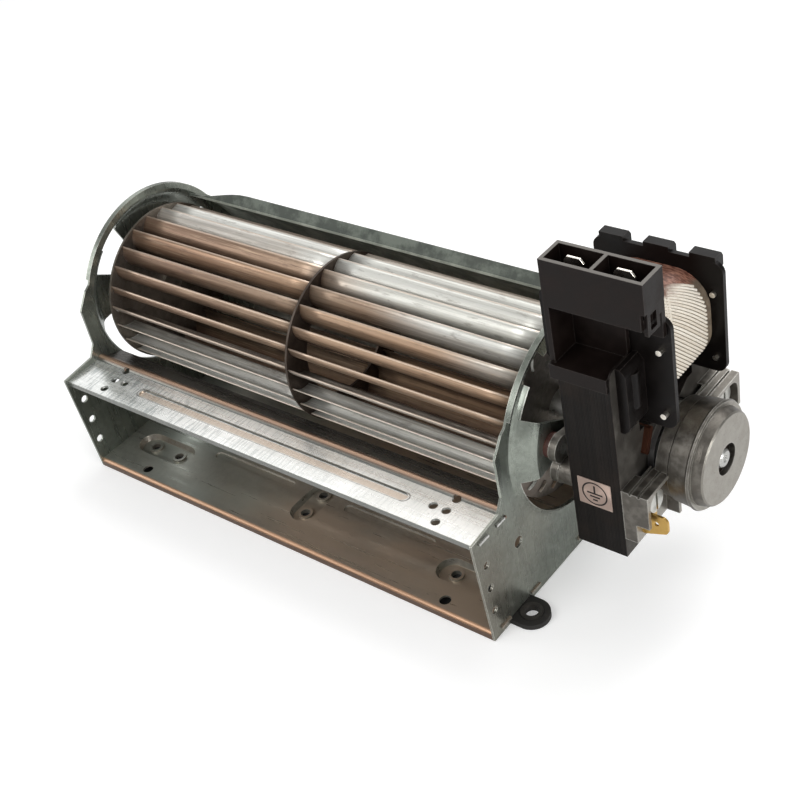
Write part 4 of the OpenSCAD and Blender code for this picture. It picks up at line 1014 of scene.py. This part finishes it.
# Flat terminals: their tips reach the mouths of the sockets
def make_spades():
    low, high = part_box("front_spade_terminals")
    tip = SOCKET_TOP - SPADE_TIP_DOWN
    bm = bmesh.new()
    for left in (low.x, high.x - SPADE_W):
        right = left + SPADE_W
        middle = (left + right) / 2
        shoulder = tip - 1.3 * SPADE_CUT
        outline = [(left, low.z), (right, low.z), (right, shoulder), (right - SPADE_CUT, tip),
                   (left + SPADE_CUT, tip), (left, shoulder)]
        hole = [(middle + u, tip - SPADE_HOLE_DOWN + v) for u, v in circle_points(SPADE_HOLE_R, 18)]
        edges, behind = [], {}
        for loop in (outline, hole):
            near = [bm.verts.new((x, low.y, z)) for x, z in loop]
            far = [bm.verts.new((x, high.y, z)) for x, z in loop]
            behind.update(zip(near, far))
            edges += [bm.edges.new((near[k - 1], near[k])) for k in range(len(near))]
            join_loops(bm, [near, far])
        filled = bmesh.ops.triangle_fill(bm, edges=edges, use_beauty=True)["geom"]
        for face in [f for f in filled if isinstance(f, bmesh.types.BMFace)]:
            bm.faces.new([behind[v] for v in reversed(face.verts)])
    bmesh.ops.recalc_face_normals(bm, faces=bm.faces)
    piece = mesh_piece("flat_terminals", bm, "tinned", "housing")
    edge = piece.modifiers.new("soft_edges", "BEVEL")
    edge.width, edge.segments, edge.angle_limit = 0.12 * MM, 2, math.radians(50)
    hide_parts("front_spade_terminals")


# The shaft's turned end, nearly flush with the cup's face
def make_shaft_end():
    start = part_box("motor_shaft")[1].x - SHAFT_LAP
    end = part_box("outer_bearing_bracket")[1].x - SHAFT_BELOW_CUP
    profile = [(start, SHAFT_R), (end - SHAFT_CHAMFER, SHAFT_R), (end, SHAFT_R - SHAFT_CHAMFER),
               (end, CENTRE_R), (end - CENTRE_DEPTH, CENTRE_FLOOR_R)]
    bm = bmesh.new()
    rows = []
    for x, radius in profile:
        circle = circle_points(radius, ROUND_STEPS)
        rows.append([bm.verts.new((x, AXIS.y + u, AXIS.z + v)) for u, v in circle])
    join_loops(bm, rows)
    bm.faces.new(rows[0])
    bm.faces.new(rows[-1])
    bmesh.ops.recalc_face_normals(bm, faces=bm.faces)
    mesh_piece("shaft_end", bm, "turned", "impeller")


# The left dome's web, which narrows the plate's upper window
def make_left_web():
    """A flat crown and then a ramp that falls in a cosine curve, with the sheet's thickness."""
    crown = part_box("left_end_plate")[0].x
    foot = crown + DOME_H
    bm = bmesh.new()
    ramp = DOME_FOOT_R - DOME_TOP_R
    outer, inner = [(WINDOW_IN_R, crown)], [(WINDOW_IN_R, crown + SHEET_T)]
    ramp_steps, turn_steps = 8, 14
    for k in range(ramp_steps + 1):
        radius = DOME_TOP_R + (WINDOW_OUT_R - DOME_TOP_R) * k / ramp_steps
        rise = (1 - math.cos(math.pi * (DOME_FOOT_R - radius) / ramp)) / 2 * (DOME_H - SHEET_T)
        inner.append((radius, foot - rise))
        outer.append((min(radius + SHEET_T / 2, WINDOW_OUT_R), foot - SHEET_T - rise))
    loop = outer + inner[::-1]
    rows = []
    for k in range(turn_steps + 1):
        turn = WEB_FROM + (WEB_TO - WEB_FROM) * k / turn_steps
        way = (math.cos(turn), math.sin(turn))
        rows.append([bm.verts.new((x, AXIS.y + r * way[0], AXIS.z + r * way[1])) for r, x in loop])
    join_loops(bm, rows)
    for row in (rows[0], rows[-1]):
        bm.faces.new(row)
    bmesh.ops.recalc_face_normals(bm, faces=bm.faces)
    mesh_piece("left_plate_web", bm, "plates", "housing")


# Earth sign printed on the small plate
def make_earth_sign():
    low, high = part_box("earth_plate")
    middle = (low + high) / 2
    bm = bmesh.new()
    front = low.y - PRINT_OUT

    def bar(up, width, height):
        """A raised bar, up from the plate's middle."""
        signs = ((-1, -1), (1, -1), (1, 1), (-1, 1))
        corners = [(middle.x + u * width / 2, middle.z + up + v * height / 2) for u, v in signs]
        near = [bm.verts.new((x, front, z)) for x, z in corners]
        far = [bm.verts.new((x, low.y + PRINT_IN, z)) for x, z in corners]
        bm.faces.new(near)
        join_loops(bm, [far, near])

    bar(SIGN_STEM_UP, SIGN_LINE, SIGN_STEM)
    for step, width in enumerate(SIGN_BARS):
        bar(-step * SIGN_BAR_PITCH, width, SIGN_LINE)
    loops = []
    for radius in SIGN_RING:
        circle = circle_points(radius, ROUND_STEPS)
        loops.append([bm.verts.new((middle.x + u, front, middle.z + v)) for u, v in circle])
    join_loops(bm, loops)
    mesh_piece("earth_sign", bm, "print", "housing")


make_camera()
light_the_studio()
make_floor()
finish_nodes()
make_blades()
make_coil_threads()
make_spades()
make_shaft_end()
make_left_web()
make_earth_sign()

bpy.context.scene.view_settings.view_transform = "Standard"
